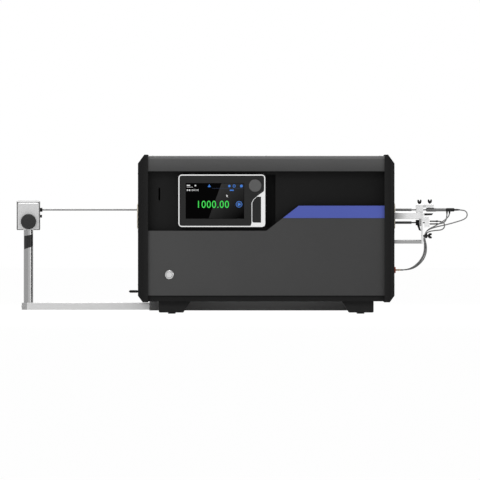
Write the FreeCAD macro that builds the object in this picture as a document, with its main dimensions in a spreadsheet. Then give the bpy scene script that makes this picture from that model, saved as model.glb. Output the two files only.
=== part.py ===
# Bench furnace for calibrating thermocouples, with a probe stand on the left and a probe holder
# on the right. X runs along the furnace axis, Y to the back, Z up. The origin lies on the bench
# under the middle of the furnace.
import FreeCAD, Part
import math
import os
import re

import Sketcher

V = FreeCAD.Vector

# Driving dimensions in millimetres and degrees: name, value, meaning.
SIZES = (
    ("span", 640, "width over both end caps"),
    ("depth", 290, "front to back over the end caps"),
    ("cap_top", 397, "height of the end caps above the bench"),
    ("cap_foot", 28.5, "underside of the end caps above the bench"),
    ("cap_width", 25, "width of one end cap along X"),
    ("cap_wall", 4, "wall of the moulded end cap"),
    ("cap_bevel_in", 16, "bevel of the cap's upper corner, along X"),
    ("cap_bevel_down", 22, "bevel of the cap's upper corner, along Z"),
    ("cap_under_in", 12, "bevel of the cap's lower corner, along X"),
    ("cap_under_up", 16.5, "bevel of the cap's lower corner, along Z"),
    ("cap_edge", 9, "bevel of the cap's upright outer edges"),
    ("axis_height", 243.6, "furnace axis above the bench"),
    ("bore", 46, "bore of the furnace tube"),
    ("port_flange", 62, "outside of the port ring's flange"),
    ("port_neck", 58, "outside of the port ring in the cap's hole"),
    ("port_lip", 3, "thickness of the port ring's flange"),
    ("sheet", 2, "sheet metal thickness"),
    ("cover_top", 393.8, "top of the cover above the bench"),
    ("cover_lip", 355.5, "lower edge of the cover's front face"),
    ("cover_inset", 4, "cover face behind the cap's front"),
    ("cover_bevel", 7.8, "height of the cover's bevelled upper edge"),
    ("cover_slope", 13, "how far back the bevelled edge reaches"),
    ("panel_inset", 6, "lower front panel behind the cap's front"),
    ("panel_top", 207, "lower front panel's left top edge"),
    ("panel_shoulder", 269.5, "lower front panel's right top edge"),
    ("panel_foot", 45.5, "lower edge of the front panel"),
    ("ramp_start", 0.4, "X where the panel's edge starts to climb"),
    ("ramp_end", 81, "X where the panel's edge is level again"),
    ("panel_deep", 18, "depth of the panel's folded rim"),
    ("strip_height", 30.7, "height of the coloured strip"),
    ("strip_thick", 0.8, "thickness of the coloured strip"),
    ("recess_face", 24, "recessed panel behind the cap's front"),
    ("recess_thick", 3, "recessed panel thickness"),
    ("tray_foot", 31, "underside of the bottom tray"),
    ("vent_long", 60, "length of a vent slot"),
    ("vent_wide", 5, "width of a vent slot"),
    ("vent_pitch", 24, "distance between vent slots"),
    ("vent_count", 16, "vent slots in a row"),
    ("foot_outer", 268, "outer side of a foot from the middle"),
    ("foot_top", 79, "width of a foot at its top"),
    ("foot_sole", 61, "width of a foot at its sole"),
    ("foot_long", 62, "front to back length of a foot"),
    ("foot_place", 92, "middle of a foot from the furnace middle, along Y"),
    ("pad_across", 18, "rubber pad diameter"),
    ("pad_thick", 3, "height of the rubber pad under a foot"),
    ("pad_place", 236, "middle of a pad from the furnace middle, along X"),
    ("channel_left", 292, "left end of the slide channel from the middle"),
    ("channel_right", 262, "right end of the slide channel from the middle"),
    ("channel_wall", 1.5, "wall of the slide channel"),
    ("rail_wide", 40, "base rail, front to back"),
    ("rail_foot", 9.5, "underside of the base rail"),
    ("rail_tall", 17.5, "height of the base rail"),
    ("rail_left", 611.4, "left end of the base rail from the middle"),
    ("rail_right", 195, "right end of the base rail from the middle"),
    ("rail_wall", 2.5, "wall of the base rail's section"),
    ("rail_tip", 13, "length of the rail's end piece"),
    ("slide_gap", 0.3, "clearance of the rail in its channel"),
    ("display_left", 219, "display's left side from the middle"),
    ("display_wide", 216.6, "display width"),
    ("display_foot", 216.5, "underside of the display"),
    ("display_tall", 130.8, "display height"),
    ("display_deep", 21, "display thickness"),
    ("display_round", 9, "display corner radius"),
    ("rim_wide", 3.6, "width of the bright rim"),
    ("rim_deep", 8, "depth of the bright rim"),
    ("rim_proud", 0.8, "bright rim before the display face"),
    ("screen_left", 201, "screen's left side from the middle"),
    ("screen_wide", 146, "screen width"),
    ("screen_foot", 237, "underside of the screen"),
    ("screen_tall", 89, "screen height"),
    ("glass_thick", 1.2, "front glass thickness"),
    ("home_across", 31, "round button diameter"),
    ("home_x", 27.8, "round button's middle, left of the furnace middle"),
    ("home_height", 319.5, "round button's middle above the bench"),
    ("home_proud", 1.6, "round button before the display face"),
    ("button_gap", 0.4, "clearance round a button"),
    ("door_left", 34.9, "port cover's left side from the middle"),
    ("door_wide", 22, "port cover width"),
    ("door_foot", 227.3, "underside of the port cover"),
    ("door_tall", 64.7, "port cover height"),
    ("door_cut", 12, "slanted corner of the port cover, along X"),
    ("door_drop", 15, "slanted corner of the port cover, along Z"),
    ("door_thick", 2, "port cover thickness"),
    ("door_gap", 0.4, "clearance round the port cover"),
    ("door_bevel", 3, "bevelled lower corner of the port cover"),
    ("bay_deep", 8, "depth of the port bay"),
    ("socket_left", 4, "wider data socket from the cover's left side"),
    ("socket_right", 12.5, "narrower data socket from the cover's left side"),
    ("wide_socket", 6, "width of the wider data socket"),
    ("small_socket", 5.5, "width of the narrower data socket"),
    ("tall_socket", 14, "height of the wider data socket"),
    ("short_socket", 10, "height of the narrower data socket"),
    ("socket_foot", 8, "data sockets above the cover's lower edge"),
    ("socket_long", 5, "data socket, front to back"),
    ("pocket_left", -0.9, "left side of the grip pocket"),
    ("pocket_wide", 24, "width of the grip pocket"),
    ("pocket_deep", 24, "depth of the grip pocket"),
    ("slit_left", 268.9, "narrow slot's left side from the middle"),
    ("slit_wide", 4.4, "narrow slot width"),
    ("slit_foot", 283, "underside of the narrow slot"),
    ("slit_tall", 31, "narrow slot height"),
    ("power_x", 242, "power button, left of the furnace middle"),
    ("power_height", 97.3, "power button above the bench"),
    ("power_across", 22, "power button bezel diameter"),
    ("power_cap", 15.4, "power button diameter"),
    ("tube_wall", 5, "wall of the ceramic furnace tube"),
    ("tube_long", 560, "length of the ceramic furnace tube"),
    ("coil_wire", 3, "thickness of the heater sleeve"),
    ("coil_long", 420, "length of the heater sleeve"),
    ("wool_across", 150, "outside of the insulation"),
    ("wool_long", 500, "length of the insulation"),
    ("block_long", 100, "length of the equalizing block"),
    ("block_gap", 1, "clearance of the block in the bore"),
    ("well_across", 7.2, "bore of the probe wells"),
    ("well_place", 16, "probe wells above and below the axis"),
    ("spare_deep", 60, "depth of the spare well"),
)

# The probe stand on the left.
STAND_SIZES = (
    ("post_x", 594.9, "post middle, left of the furnace middle"),
    ("post_across", 24, "post diameter"),
    ("post_top", 245, "top of the post above the bench"),
    ("post_waist", 18, "post diameter under the grip sleeve"),
    ("grip_foot", 164.5, "middle of the sleeve's slanted lower end"),
    ("grip_top", 196, "middle of the sleeve's slanted upper end"),
    ("grip_drop", 4, "how far the sleeve's ends slant"),
    ("grip_across", 23.2, "grip sleeve diameter"),
    ("grip_ribs", 14, "flutes round the grip sleeve"),
    ("grip_flute", 0.9, "radius of a flute"),
    ("head_left", 624, "left side of the head from the middle"),
    ("head_wide", 58, "head width"),
    ("head_deep", 56, "head, front to back"),
    ("head_foot", 209, "underside of the head"),
    ("head_tall", 70, "head height"),
    ("head_round", 5, "radius of the head's upright edges"),
    ("head_bevel", 4, "bevel of the head's upper edges"),
    ("head_bore_top", 256, "top of the head's post bore"),
    ("head_fit", 0.05, "clearance of the post in the head, each side"),
    ("knob_x", 594.4, "clamp knob, left of the furnace middle"),
    ("knob_height", 230, "clamp knob above the bench"),
    ("knob_across", 38.2, "clamp knob diameter"),
    ("knob_thick", 17, "clamp knob thickness"),
    ("knob_shank", 8, "clamp screw diameter"),
    ("knob_flutes", 12, "flutes round the clamp knob"),
    ("gland_across", 10, "probe gland diameter"),
    ("gland_long", 6, "probe gland before the head"),
    ("spare_across", 5, "spare guide's diameter"),
    ("guide_bore", 4.2, "bore of the spare guide"),
    ("probe_across", 4, "reference probe diameter"),
    ("probe_tip", 115, "tip of the reference probe, left of the middle"),
    ("probe_seat", 14, "depth of the reference probe in the head"),
    ("catch_height", 55.3, "rail catch above the bench"),
    ("catch_long", 23, "length of the rail catch before the cap"),
    ("catch_thick", 5.5, "thickness of the rail catch"),
    ("catch_y", -14, "middle of the rail catch, front of the axis"),
    ("catch_wide", 12, "rail catch, front to back"),
    ("catch_pin", 4, "diameter of the rail catch's pin"),
    ("catch_gap", 0.3, "clearance of the rail catch beside the cap"),
)

# The probe holder and its probes on the right.
HOLDER_SIZES = (
    ("holder_y", -40.5, "middle of the holder bar, front of the axis"),
    ("bar_across", 16.8, "holder bar, across its flats"),
    ("bar_middle", 244.9, "holder bar above the bench"),
    ("bar_end", 395, "right end of the holder bar from the middle"),
    ("rod_across", 9.6, "lower holder rod diameter"),
    ("rod_height", 179.7, "lower holder rod above the bench"),
    ("plate_x", 388.1, "left face of the upright plate"),
    ("plate_thick", 4, "upright plate thickness"),
    ("plate_foot", 174, "lower end of the upright plate"),
    ("plate_back", 14, "rear edge of the upright plate behind the axis"),
    ("clamp_tall", 20.3, "height of the clamp blocks"),
    ("near_x", 375, "left side of the near clamp"),
    ("near_wide", 17.6, "near clamp width"),
    ("far_x", 400, "left side of the far clamp"),
    ("far_wide", 19.6, "far clamp width"),
    ("far_foot", 264.5, "underside of the far clamp"),
    ("far_tall", 9.8, "far clamp height"),
    ("wing_stem", 4, "wing screw stem diameter"),
    ("wing_span", 10.4, "wing screw width"),
    ("wing_tall", 11.5, "wing screw height"),
    ("wing_thick", 3, "thickness of a wing"),
    ("wing_gap", 0.4, "clearance under a wing screw"),
    ("sheath_across", 6.6, "probe sheath diameter"),
    ("sheath_end", 364, "outer end of the probe sheaths"),
    ("sheath_tip", -40, "inner tip of the probe sheaths"),
    ("neck_across", 3.5, "diameter of a probe's neck"),
    ("grip_body", 9.4, "diameter of the upper probe's thick body"),
    ("grip_end", 424.6, "end of the upper probe's thick body"),
    ("stem_across", 8, "diameter of the upper probe's thin stem"),
    ("hilt_x", 450.1, "left end of the dark handle"),
    ("hilt_long", 21.9, "length of the dark handle"),
    ("hilt_across", 8.8, "dark handle diameter"),
    ("lug_rise", 3.4, "terminal lugs above and below the lower probe"),
    ("lug_thick", 2.6, "terminal lug thickness"),
    ("lug_place", 3, "terminal lugs to each side"),
    ("lug_wide", 6, "terminal lug width"),
    ("terminal_wide", 16, "terminal block, front to back"),
    ("collar_x", 374.4, "left face of the lower collar"),
    ("collar_wide", 8.7, "lower collar width"),
    ("collar_tall", 13.5, "lower collar height"),
    ("lower_x", 396.6, "left face of the lower terminal block"),
    ("lower_wide", 12.3, "lower terminal block width"),
    ("lower_foot", 216, "underside of the lower terminal block"),
    ("lower_tall", 25.8, "lower terminal block height"),
    ("lug_end", 424.4, "right end of the terminal's lugs"),
    ("side_wing_height", 194.5, "side wing screw above the bench"),
    ("upper_lever_x", 399.4, "upper cam lever's pivot"),
    ("upper_lever_height", 248, "upper cam lever above the bench"),
    ("upper_lever_long", 18, "upper cam lever length"),
    ("lower_lever_x", 379.6, "lower cam lever's pivot"),
    ("lower_lever_height", 223.4, "lower cam lever above the bench"),
    ("lower_lever_long", 18, "lower cam lever length"),
    ("lever_pin", 2.5, "cam levers' pivot diameter"),
    ("lever_gap", 0.3, "clearance beside a cam lever"),
    ("lever_ear", 1.6, "thickness of the ears beside the upper lever"),
    ("collar_half", 9, "lower collar, from the axis to its front"),
    ("lever_thick", 5.5, "cam lever thickness"),
    ("lever_wide", 9, "cam levers, front to back"),
    ("lead_across", 3, "lead diameter"),
    ("socket_height", 109, "lead socket above the bench"),
    ("socket_across", 15.7, "lead socket diameter"),
    ("socket_deep", 4.4, "lead socket before the cap"),
    ("plug_long", 11.5, "lead plug length"),
    ("plug_thick", 4, "lead plug height"),
    ("plug_wide", 14, "lead plug, front to back"),
)

# The rear wall and the parts behind it.
REAR_SIZES = (
    ("fan_x", 190, "fan axis from the furnace middle"),
    ("fan_height", 150, "fan axis above the bench"),
    ("fan_bore", 76, "fan opening"),
    ("fan_across", 80, "fan frame's side"),
    ("fan_deep", 25, "fan frame, front to back"),
    ("fan_hub", 32, "fan hub diameter"),
    ("fan_gap", 1, "clearance of the blade tips"),
    ("fan_blades", 7, "blades of the fan"),
    ("fan_arm", 3, "thickness of the fan frame's arms"),
    ("fan_step", 4, "fan wheel behind the frame's outer face"),
    ("vane_reach", 7, "slant of a fan blade to each side"),
    ("vane_thick", 1.5, "fan blade thickness"),
    ("flange_thick", 3, "mains inlet flange thickness"),
    ("flange_bevel", 5, "bevelled corners of the mains inlet flange"),
    ("inlet_fit", 0.2, "clearance round the inlet's body"),
    ("inlet_wall", 2, "wall of the inlet's body"),
    ("pin_place", 7, "inlet contacts from the middle one"),
    ("pin_rise", 2, "middle inlet contact above the inlet's middle"),
    ("pin_thick", 2, "inlet contact thickness"),
    ("pin_tall", 5, "inlet contact height"),
    ("standoff_across", 6, "stand-off diameter"),
    ("sink_left", 20, "heat sink's left side from the board's middle"),
    ("sink_wide", 50, "heat sink width"),
    ("sink_deep", 60, "heat sink, front to back"),
    ("sink_tall", 30, "heat sink height"),
    ("fin_tall", 24, "height of the heat sink's fins"),
    ("fin_pitch", 6, "distance between fins"),
    ("fin_space", 3, "space between fins"),
    ("fin_slots", 8, "spaces between the fins"),
    ("inlet_x", -225, "mains inlet from the middle"),
    ("inlet_height", 90, "mains inlet above the bench"),
    ("inlet_wide", 27.4, "width of the inlet's body"),
    ("inlet_tall", 20, "height of the inlet's body"),
    ("inlet_deep", 24, "depth of the inlet's body"),
    ("inlet_flange", 48, "width of the inlet's flange"),
    ("rear_vent_x", -90, "left end of the rear vent slots"),
    ("board_wide", 180, "control board width"),
    ("board_tall", 90, "control board height"),
    ("board_thick", 1.6, "control board thickness"),
    ("board_x", -150, "control board's middle from the furnace middle"),
    ("standoff_long", 8, "height of the board's stand-offs"),
)

SIZES += STAND_SIZES + HOLDER_SIZES + REAR_SIZES

doc = FreeCAD.newDocument("calibration_furnace")
sheet = doc.addObject("Spreadsheet::Sheet", "Sizes")


def fill_sheet():
    """Write every driving dimension into a named cell."""
    for row, (name, value, meaning) in enumerate(SIZES, start=1):
        sheet.set(f"A{row}", meaning)
        sheet.set(f"B{row}", str(value))
        sheet.setAlias(f"B{row}", name)
    doc.recompute()


NAMES = {name for name, value, meaning in SIZES}


def link(text):
    """The expression with each size's name turned into its cell."""
    def cell(word):
        return f"Sizes.{word.group()}" if word.group() in NAMES else word.group()
    return re.sub(r"[a-z_]+", cell, str(text))


def size(name):
    """The value of one driving dimension."""
    return float(sheet.get(name))


def place(thing, x="0", y="0", z="0"):
    """Bind the position of a sub-part."""
    for axis, text in zip("xyz", (x, y, z)):
        thing.setExpression(f"Placement.Base.{axis}", link(text))


def new_body(label):
    """An empty body that becomes one sub-part."""
    body = doc.addObject("PartDesign::Body", label)
    body.Label = label
    return body


def new_sketch(body, role, offset="0"):
    """A sketch on an origin plane. Role is XY, XZ or YZ, offset is along the plane's normal."""
    plane = next(part for part in body.Origin.OriginFeatures if part.Role == f"{role}_Plane")
    made = body.newObject("Sketcher::SketchObject", f"{body.Name}_sketch")
    made.AttachmentSupport = (plane, "")
    made.MapMode = "FlatFace"
    made.setExpression("AttachmentOffset.Base.z", link(offset))
    return made


def fix_point(made, index, position, start, x, y):
    """Bind a sketch point's two coordinates."""
    for kind, value, text in (("DistanceX", start.x, x), ("DistanceY", start.y, y)):
        number = made.addConstraint(Sketcher.Constraint(kind, -1, 1, index, position, value))
        made.setExpression(f"Constraints[{number}]", link(text))


def polygon(made, corners):
    """A closed outline through corners that are pairs of expressions."""
    first = made.GeometryCount
    count = len(corners)
    turn = 2 * math.pi / count
    ring = [V(math.cos(turn * n), math.sin(turn * n), 0) for n in range(count)]
    for n in range(count):
        made.addGeometry(Part.LineSegment(ring[n], ring[(n + 1) % count]), False)
    for n in range(count):
        made.addConstraint(Sketcher.Constraint("Coincident", first + n, 2, first + (n + 1) % count, 1))
    for n, (x, y) in enumerate(corners):
        fix_point(made, first + n, 1, ring[n], x, y)
    return made


def rectangle(made, left, right, low, high):
    """A closed rectangle."""
    return polygon(made, ((left, low), (right, low), (right, high), (left, high)))


def circle(made, across, x="0", y="0"):
    """A full circle of the given diameter."""
    index = made.addGeometry(Part.Circle(V(1, 1, 0), V(0, 0, 1), 1), False)
    number = made.addConstraint(Sketcher.Constraint("Diameter", index, 2))
    made.setExpression(f"Constraints[{number}]", link(across))
    fix_point(made, index, 3, V(1, 1, 0), x, y)
    return made


def pad(body, profile, length, both=False, back=False):
    """Add material from a sketch."""
    made = body.newObject("PartDesign::Pad", f"{body.Name}_pad")
    made.Profile = profile
    made.setExpression("Length", link(length))
    made.SideType = "Symmetric" if both else "One side"
    made.Reversed = back
    doc.recompute()
    return made


def pocket(body, profile, depth=None, both=False, back=False):
    """Take material away with a sketch, right through when no depth is given."""
    before = body.Shape.Volume
    made = body.newObject("PartDesign::Pocket", f"{body.Name}_pocket")
    made.Profile = profile
    made.SideType = "Symmetric" if both else "One side"
    made.Reversed = back
    if depth is None:
        made.Type = "ThroughAll"
    else:
        made.setExpression("Length", link(depth))
    doc.recompute()
    if body.Shape.Volume > before - 1e-6:
        raise ValueError(f"{made.Name} takes nothing away")
    return made


def revolve(body, profile, axis="V_Axis"):
    """A turned solid about the sketch's own axis."""
    made = body.newObject("PartDesign::Revolution", f"{body.Name}_turn")
    made.Profile = profile
    made.ReferenceAxis = (profile, [axis])
    made.Angle = 360
    doc.recompute()
    return made


def soften(body, kind, amount, wanted):
    """Fillet or chamfer the edges that the test picks."""
    base = body.Tip
    names = [f"Edge{n}" for n, edge in enumerate(base.Shape.Edges, start=1) if wanted(edge)]
    made = body.newObject(f"PartDesign::{kind}", f"{body.Name}_{kind.lower()}")
    made.Base = (base, names)
    made.setExpression("Radius" if kind == "Fillet" else "Size", link(amount))
    doc.recompute()
    return made


def runs_along(axis, at_least=0.0):
    """A test for straight edges along X, Y or Z that are long enough."""
    way = {"X": V(1, 0, 0), "Y": V(0, 1, 0), "Z": V(0, 0, 1)}[axis]

    def wanted(edge):
        if not isinstance(edge.Curve, (Part.Line, Part.LineSegment)):
            return False
        step = edge.Vertexes[-1].Point - edge.Vertexes[0].Point
        return edge.Length > at_least and abs(step.dot(way)) > 0.999 * edge.Length
    return wanted


def repeat_round(body, feature, axis, count):
    """Polar copies of a feature about one of the body's own axes."""
    line = next(part for part in body.Origin.OriginFeatures if part.Role == f"{axis}_Axis")
    made = body.newObject("PartDesign::PolarPattern", f"{body.Name}_ring")
    made.Originals = [feature]
    made.Axis = (line, [""])
    made.Angle = 360
    made.setExpression("Occurrences", link(count))
    body.Tip = made
    doc.recompute()
    return made


def repeat_along(body, feature, axis, pitch, count):
    """Straight copies of a feature along one of the body's own axes."""
    line = next(part for part in body.Origin.OriginFeatures if part.Role == f"{axis}_Axis")
    made = body.newObject("PartDesign::LinearPattern", f"{body.Name}_row")
    made.Originals = [feature]
    made.Direction = (line, [""])
    made.Mode = "Spacing"
    made.setExpression("Offset", link(pitch))
    made.setExpression("Occurrences", link(count))
    body.Tip = made
    doc.recompute()
    return made


def end_cap(label, side):
    """Moulded end cap with bevelled corners, hollow behind its wall, with the port's hole."""
    body = new_body(label)
    outer = f"{side} * cap_width"
    face = new_sketch(body, "XZ")
    polygon(face, (
        ("0", "cap_foot"),
        (f"{side} * (cap_width - cap_under_in)", "cap_foot"),
        (outer, "cap_foot + cap_under_up"),
        (outer, "cap_top - cap_bevel_down"),
        (f"{side} * (cap_width - cap_bevel_in)", "cap_top"),
        ("0", "cap_top"),
    ))
    pad(body, face, "depth", both=True)
    edge_x = side * size("cap_width")

    def upright(edge):
        return runs_along("Z")(edge) and abs(edge.Vertexes[0].X - edge_x) < 0.01
    soften(body, "Chamfer", "cap_edge", upright)
    hollow = new_sketch(body, "YZ")
    rim = "(depth / 2 - cap_edge - cap_wall)"
    rectangle(hollow, f"-{rim}", rim, "cap_foot + cap_under_up + cap_wall",
              "cap_top - cap_bevel_down - cap_wall")
    pocket(body, hollow, "cap_width - cap_wall", back=side > 0)
    hole = new_sketch(body, "YZ")
    circle(hole, "port_neck + 2", "0", "axis_height")
    if side < 0:
        circle(hole, "catch_pin + 0.2", "catch_y", "catch_height")
    pocket(body, hole, "cap_width", back=side > 0)
    place(body, f"{side} * (span / 2 - cap_width)")
    return body


def top_cover():
    """Folded cover: bevelled front and rear edges, skirts, and two rows of vent slots."""
    body = new_body("top_cover")
    front = "(depth / 2 - cover_inset)"
    profile = new_sketch(body, "YZ")
    polygon(profile, (
        (f"-{front}", "cover_lip"),
        (f"-{front}", "cover_top - cover_bevel"),
        (f"-{front} + cover_slope / 3", "cover_top - cover_bevel / 2.4"),
        (f"-{front} + cover_slope", "cover_top"),
        (f"{front} - cover_slope", "cover_top"),
        (front, "cover_top - cover_bevel"),
        (front, "cover_lip"),
        (f"{front} - sheet", "cover_lip"),
        (f"{front} - sheet", "cover_top - cover_bevel - sheet / 2"),
        (f"{front} - cover_slope", "cover_top - sheet"),
        (f"-{front} + cover_slope", "cover_top - sheet"),
        (f"-{front} + sheet", "cover_top - cover_bevel - sheet / 2"),
        (f"-{front} + sheet", "cover_lip + sheet"),
        ("recess_face + recess_thick - depth / 2", "cover_lip + sheet"),
        ("recess_face + recess_thick - depth / 2", "cover_lip"),
    ))
    pad(body, profile, "span - 2 * cap_width", both=True)
    for row in (-1, 1):
        slot = new_sketch(body, "XY", "cover_top")
        start = "-vent_pitch * (vent_count - 1) / 2"
        middle = f"{row} * depth / 5"
        rectangle(slot, f"{start} - vent_wide / 2", f"{start} + vent_wide / 2",
                  f"{middle} - vent_long / 2", f"{middle} + vent_long / 2")
        repeat_along(body, pocket(body, slot, "sheet * 2"), "X", "vent_pitch", "vent_count")
    place(body)
    return body


PANEL_Y = "(depth / 2 - panel_inset)"


def front_panel():
    """Lower front panel: a folded tray whose top edge climbs beside the display."""
    body = new_body("front_panel")
    side = "(span / 2 - cap_width)"
    face = new_sketch(body, "XZ", PANEL_Y)
    polygon(face, (
        (f"-{side}", "panel_foot"), (side, "panel_foot"), (side, "panel_shoulder"),
        ("ramp_end", "panel_shoulder"), ("ramp_start", "panel_top"), (f"-{side}", "panel_top"),
    ))
    pad(body, face, "panel_deep", back=True)
    inside = new_sketch(body, "XZ", f"{PANEL_Y} - panel_deep")
    polygon(inside, (
        (f"-{side} + sheet", "panel_foot + sheet"), (f"{side} - sheet", "panel_foot + sheet"),
        (f"{side} - sheet", "panel_shoulder - sheet"),
        ("ramp_end + sheet / 2", "panel_shoulder - sheet"),
        ("ramp_start + sheet / 2", "panel_top - sheet"), (f"-{side} + sheet", "panel_top - sheet"),
    ))
    pocket(body, inside, "panel_deep - sheet", back=True)
    hole = new_sketch(body, "XZ", PANEL_Y)
    circle(hole, "power_cap + 2 * button_gap + 2", "-power_x", "power_height")
    pocket(body, hole, "sheet * 2")
    place(body)
    return body


def colour_strip():
    """Flat strip along the top of the front panel, its left end on the panel's slope."""
    body = new_body("colour_strip")
    slope = "(ramp_end - ramp_start) / (panel_shoulder - panel_top)"
    face = new_sketch(body, "XZ", PANEL_Y)
    polygon(face, (
        (f"ramp_end - strip_height * {slope}", "panel_shoulder - strip_height"),
        ("span / 2 - cap_width", "panel_shoulder - strip_height"),
        ("span / 2 - cap_width", "panel_shoulder"), ("ramp_end", "panel_shoulder"),
    ))
    pad(body, face, "strip_thick")
    place(body)
    return body


RECESS_Y = "(depth / 2 - recess_face)"


def recess_panel():
    """Recessed upper panel with the narrow slot and the window of the grip pocket."""
    body = new_body("recess_panel")
    face = new_sketch(body, "XZ", RECESS_Y)
    rectangle(face, "cap_width - span / 2", "span / 2 - cap_width", "panel_top - 6", "cover_lip")
    pad(body, face, "recess_thick", back=True)
    cuts = new_sketch(body, "XZ", RECESS_Y)
    rectangle(cuts, "-slit_left", "slit_wide - slit_left", "slit_foot", "slit_foot + slit_tall")
    rectangle(cuts, "pocket_left", "pocket_left + pocket_wide", "display_foot",
              "display_foot + display_tall")
    pocket(body, cuts, "recess_thick * 2")
    place(body)
    return body


def grip_pocket():
    """Open box behind the window beside the display."""
    body = new_body("grip_pocket")
    outside = new_sketch(body, "XZ", f"{RECESS_Y} - recess_thick")
    rectangle(outside, "pocket_left - sheet", "pocket_left + pocket_wide + sheet",
              "display_foot - sheet", "display_foot + display_tall + sheet")
    pad(body, outside, "pocket_deep", back=True)
    inside = new_sketch(body, "XZ", f"{RECESS_Y} - recess_thick")
    rectangle(inside, "pocket_left", "pocket_left + pocket_wide", "display_foot",
              "display_foot + display_tall")
    pocket(body, inside, "pocket_deep - sheet")
    place(body)
    return body


def bottom_tray():
    """Shallow tray that closes the furnace from below and shows as a dark band."""
    body = new_body("bottom_tray")
    reach = "(depth / 2 - cover_inset - panel_inset)"
    side = "(span / 2 - cap_width)"
    floor = new_sketch(body, "XY", "tray_foot")
    rectangle(floor, f"-{side}", side, f"-{reach}", reach)
    pad(body, floor, "panel_foot - tray_foot")
    room = new_sketch(body, "XY", "panel_foot")
    rectangle(room, f"sheet - {side}", f"{side} - sheet", f"sheet - {reach}", f"{reach} - sheet")
    pocket(body, room, "panel_foot - tray_foot - sheet")
    place(body)
    return body


def rear_panel():
    """Rear wall with the fan's opening, the inlet's cut-out and a row of vent slots."""
    body = new_body("rear_panel")
    back = "(depth / 2 - cover_inset - sheet)"
    face = new_sketch(body, "XZ", f"-{back} + sheet")
    rectangle(face, "cap_width - span / 2", "span / 2 - cap_width", "panel_foot", "cover_lip + 20")
    pad(body, face, "sheet", back=True)
    cuts = new_sketch(body, "XZ", f"-{back} - sheet")
    circle(cuts, "fan_bore", "fan_x", "fan_height")
    rectangle(cuts, "inlet_x - inlet_wide / 2", "inlet_x + inlet_wide / 2",
              "inlet_height - inlet_tall / 2", "inlet_height + inlet_tall / 2")
    pocket(body, cuts, "sheet * 3", back=True)
    slot = new_sketch(body, "XZ", f"-{back} - sheet")
    rectangle(slot, "rear_vent_x", "rear_vent_x + vent_wide", "axis_height - vent_long / 2",
              "axis_height + vent_long / 2")
    repeat_along(body, pocket(body, slot, "sheet * 3", back=True), "X", "vent_pitch", "vent_count / 2")
    place(body)
    return body


def feet():
    """Four tapered feet, wider at the top than at the sole, with bevelled edges."""
    body = new_body("feet")
    body.AllowCompound = True
    for side in (-1, 1):
        for row in (-1, 1):
            face = new_sketch(body, "XZ", f"{row} * foot_place + foot_long / 2")
            polygon(face, (
                (f"{side} * (foot_outer - foot_sole)", "pad_thick"),
                (f"{side} * (foot_outer - 2)", "pad_thick"),
                (f"{side} * foot_outer", "pad_thick + 2"),
                (f"{side} * foot_outer", "tray_foot"),
                (f"{side} * (foot_outer - foot_top)", "tray_foot"),
            ))
            pad(body, face, "foot_long", back=True)
    place(body)
    return body


def foot_pads():
    """Four round rubber pads under the feet."""
    body = new_body("foot_pads")
    body.AllowCompound = True
    soles = new_sketch(body, "XY")
    for side in (-1, 1):
        for row in (-1, 1):
            circle(soles, "pad_across", f"{side} * pad_place", f"{row} * foot_place")
    pad(body, soles, "pad_thick")
    place(body)
    return body


def slide_channel():
    """Box channel under the tray that guides the base rail, closed at its right end."""
    body = new_body("slide_channel")
    half = "(rail_wide / 2 + slide_gap)"
    outside = new_sketch(body, "YZ", "-channel_left")
    rectangle(outside, f"-{half} - channel_wall", f"{half} + channel_wall",
              "rail_foot - slide_gap - channel_wall", "tray_foot")
    pad(body, outside, "channel_left + channel_right")
    inside = new_sketch(body, "YZ", "-channel_left")
    rectangle(inside, f"-{half}", half, "rail_foot - slide_gap", "rail_foot + rail_tall + slide_gap")
    pocket(body, inside, "channel_left + channel_right - sheet", back=True)
    place(body)
    return body


def hollow_round(label, outer, inner, length, middle="0"):
    """A plain tube along the furnace axis, centred on the given X."""
    body = new_body(label)
    ring = new_sketch(body, "YZ")
    circle(ring, outer)
    if inner is not None:
        circle(ring, inner)
    pad(body, ring, length, both=True)
    place(body, middle, "0", "axis_height")
    return body


def equalizing_block():
    """Metal block in the middle of the bore with two probe wells and a spare well on the axis."""
    body = new_body("equalizing_block")
    face = new_sketch(body, "YZ")
    circle(face, "bore - 2 * block_gap")
    for side in (-1, 1):
        circle(face, "well_across", "0", f"{side} * well_place")
    pad(body, face, "block_long", both=True)
    spare = new_sketch(body, "YZ", "-block_long / 2")
    circle(spare, "well_across")
    pocket(body, spare, "spare_deep", back=True)
    place(body, "0", "0", "axis_height")
    return body


def port_ring(label, side):
    """Ceramic ring that lines the cap's hole, with a flange on the outside."""
    body = new_body(label)
    flange = new_sketch(body, "YZ")
    circle(flange, "port_flange")
    circle(flange, "bore")
    pad(body, flange, "port_lip", back=side < 0)
    neck = new_sketch(body, "YZ")
    circle(neck, "port_neck")
    circle(neck, "bore")
    pad(body, neck, "span / 2 - tube_long / 2", back=side > 0)
    place(body, f"{side} * span / 2", "0", "axis_height")
    return body


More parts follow.
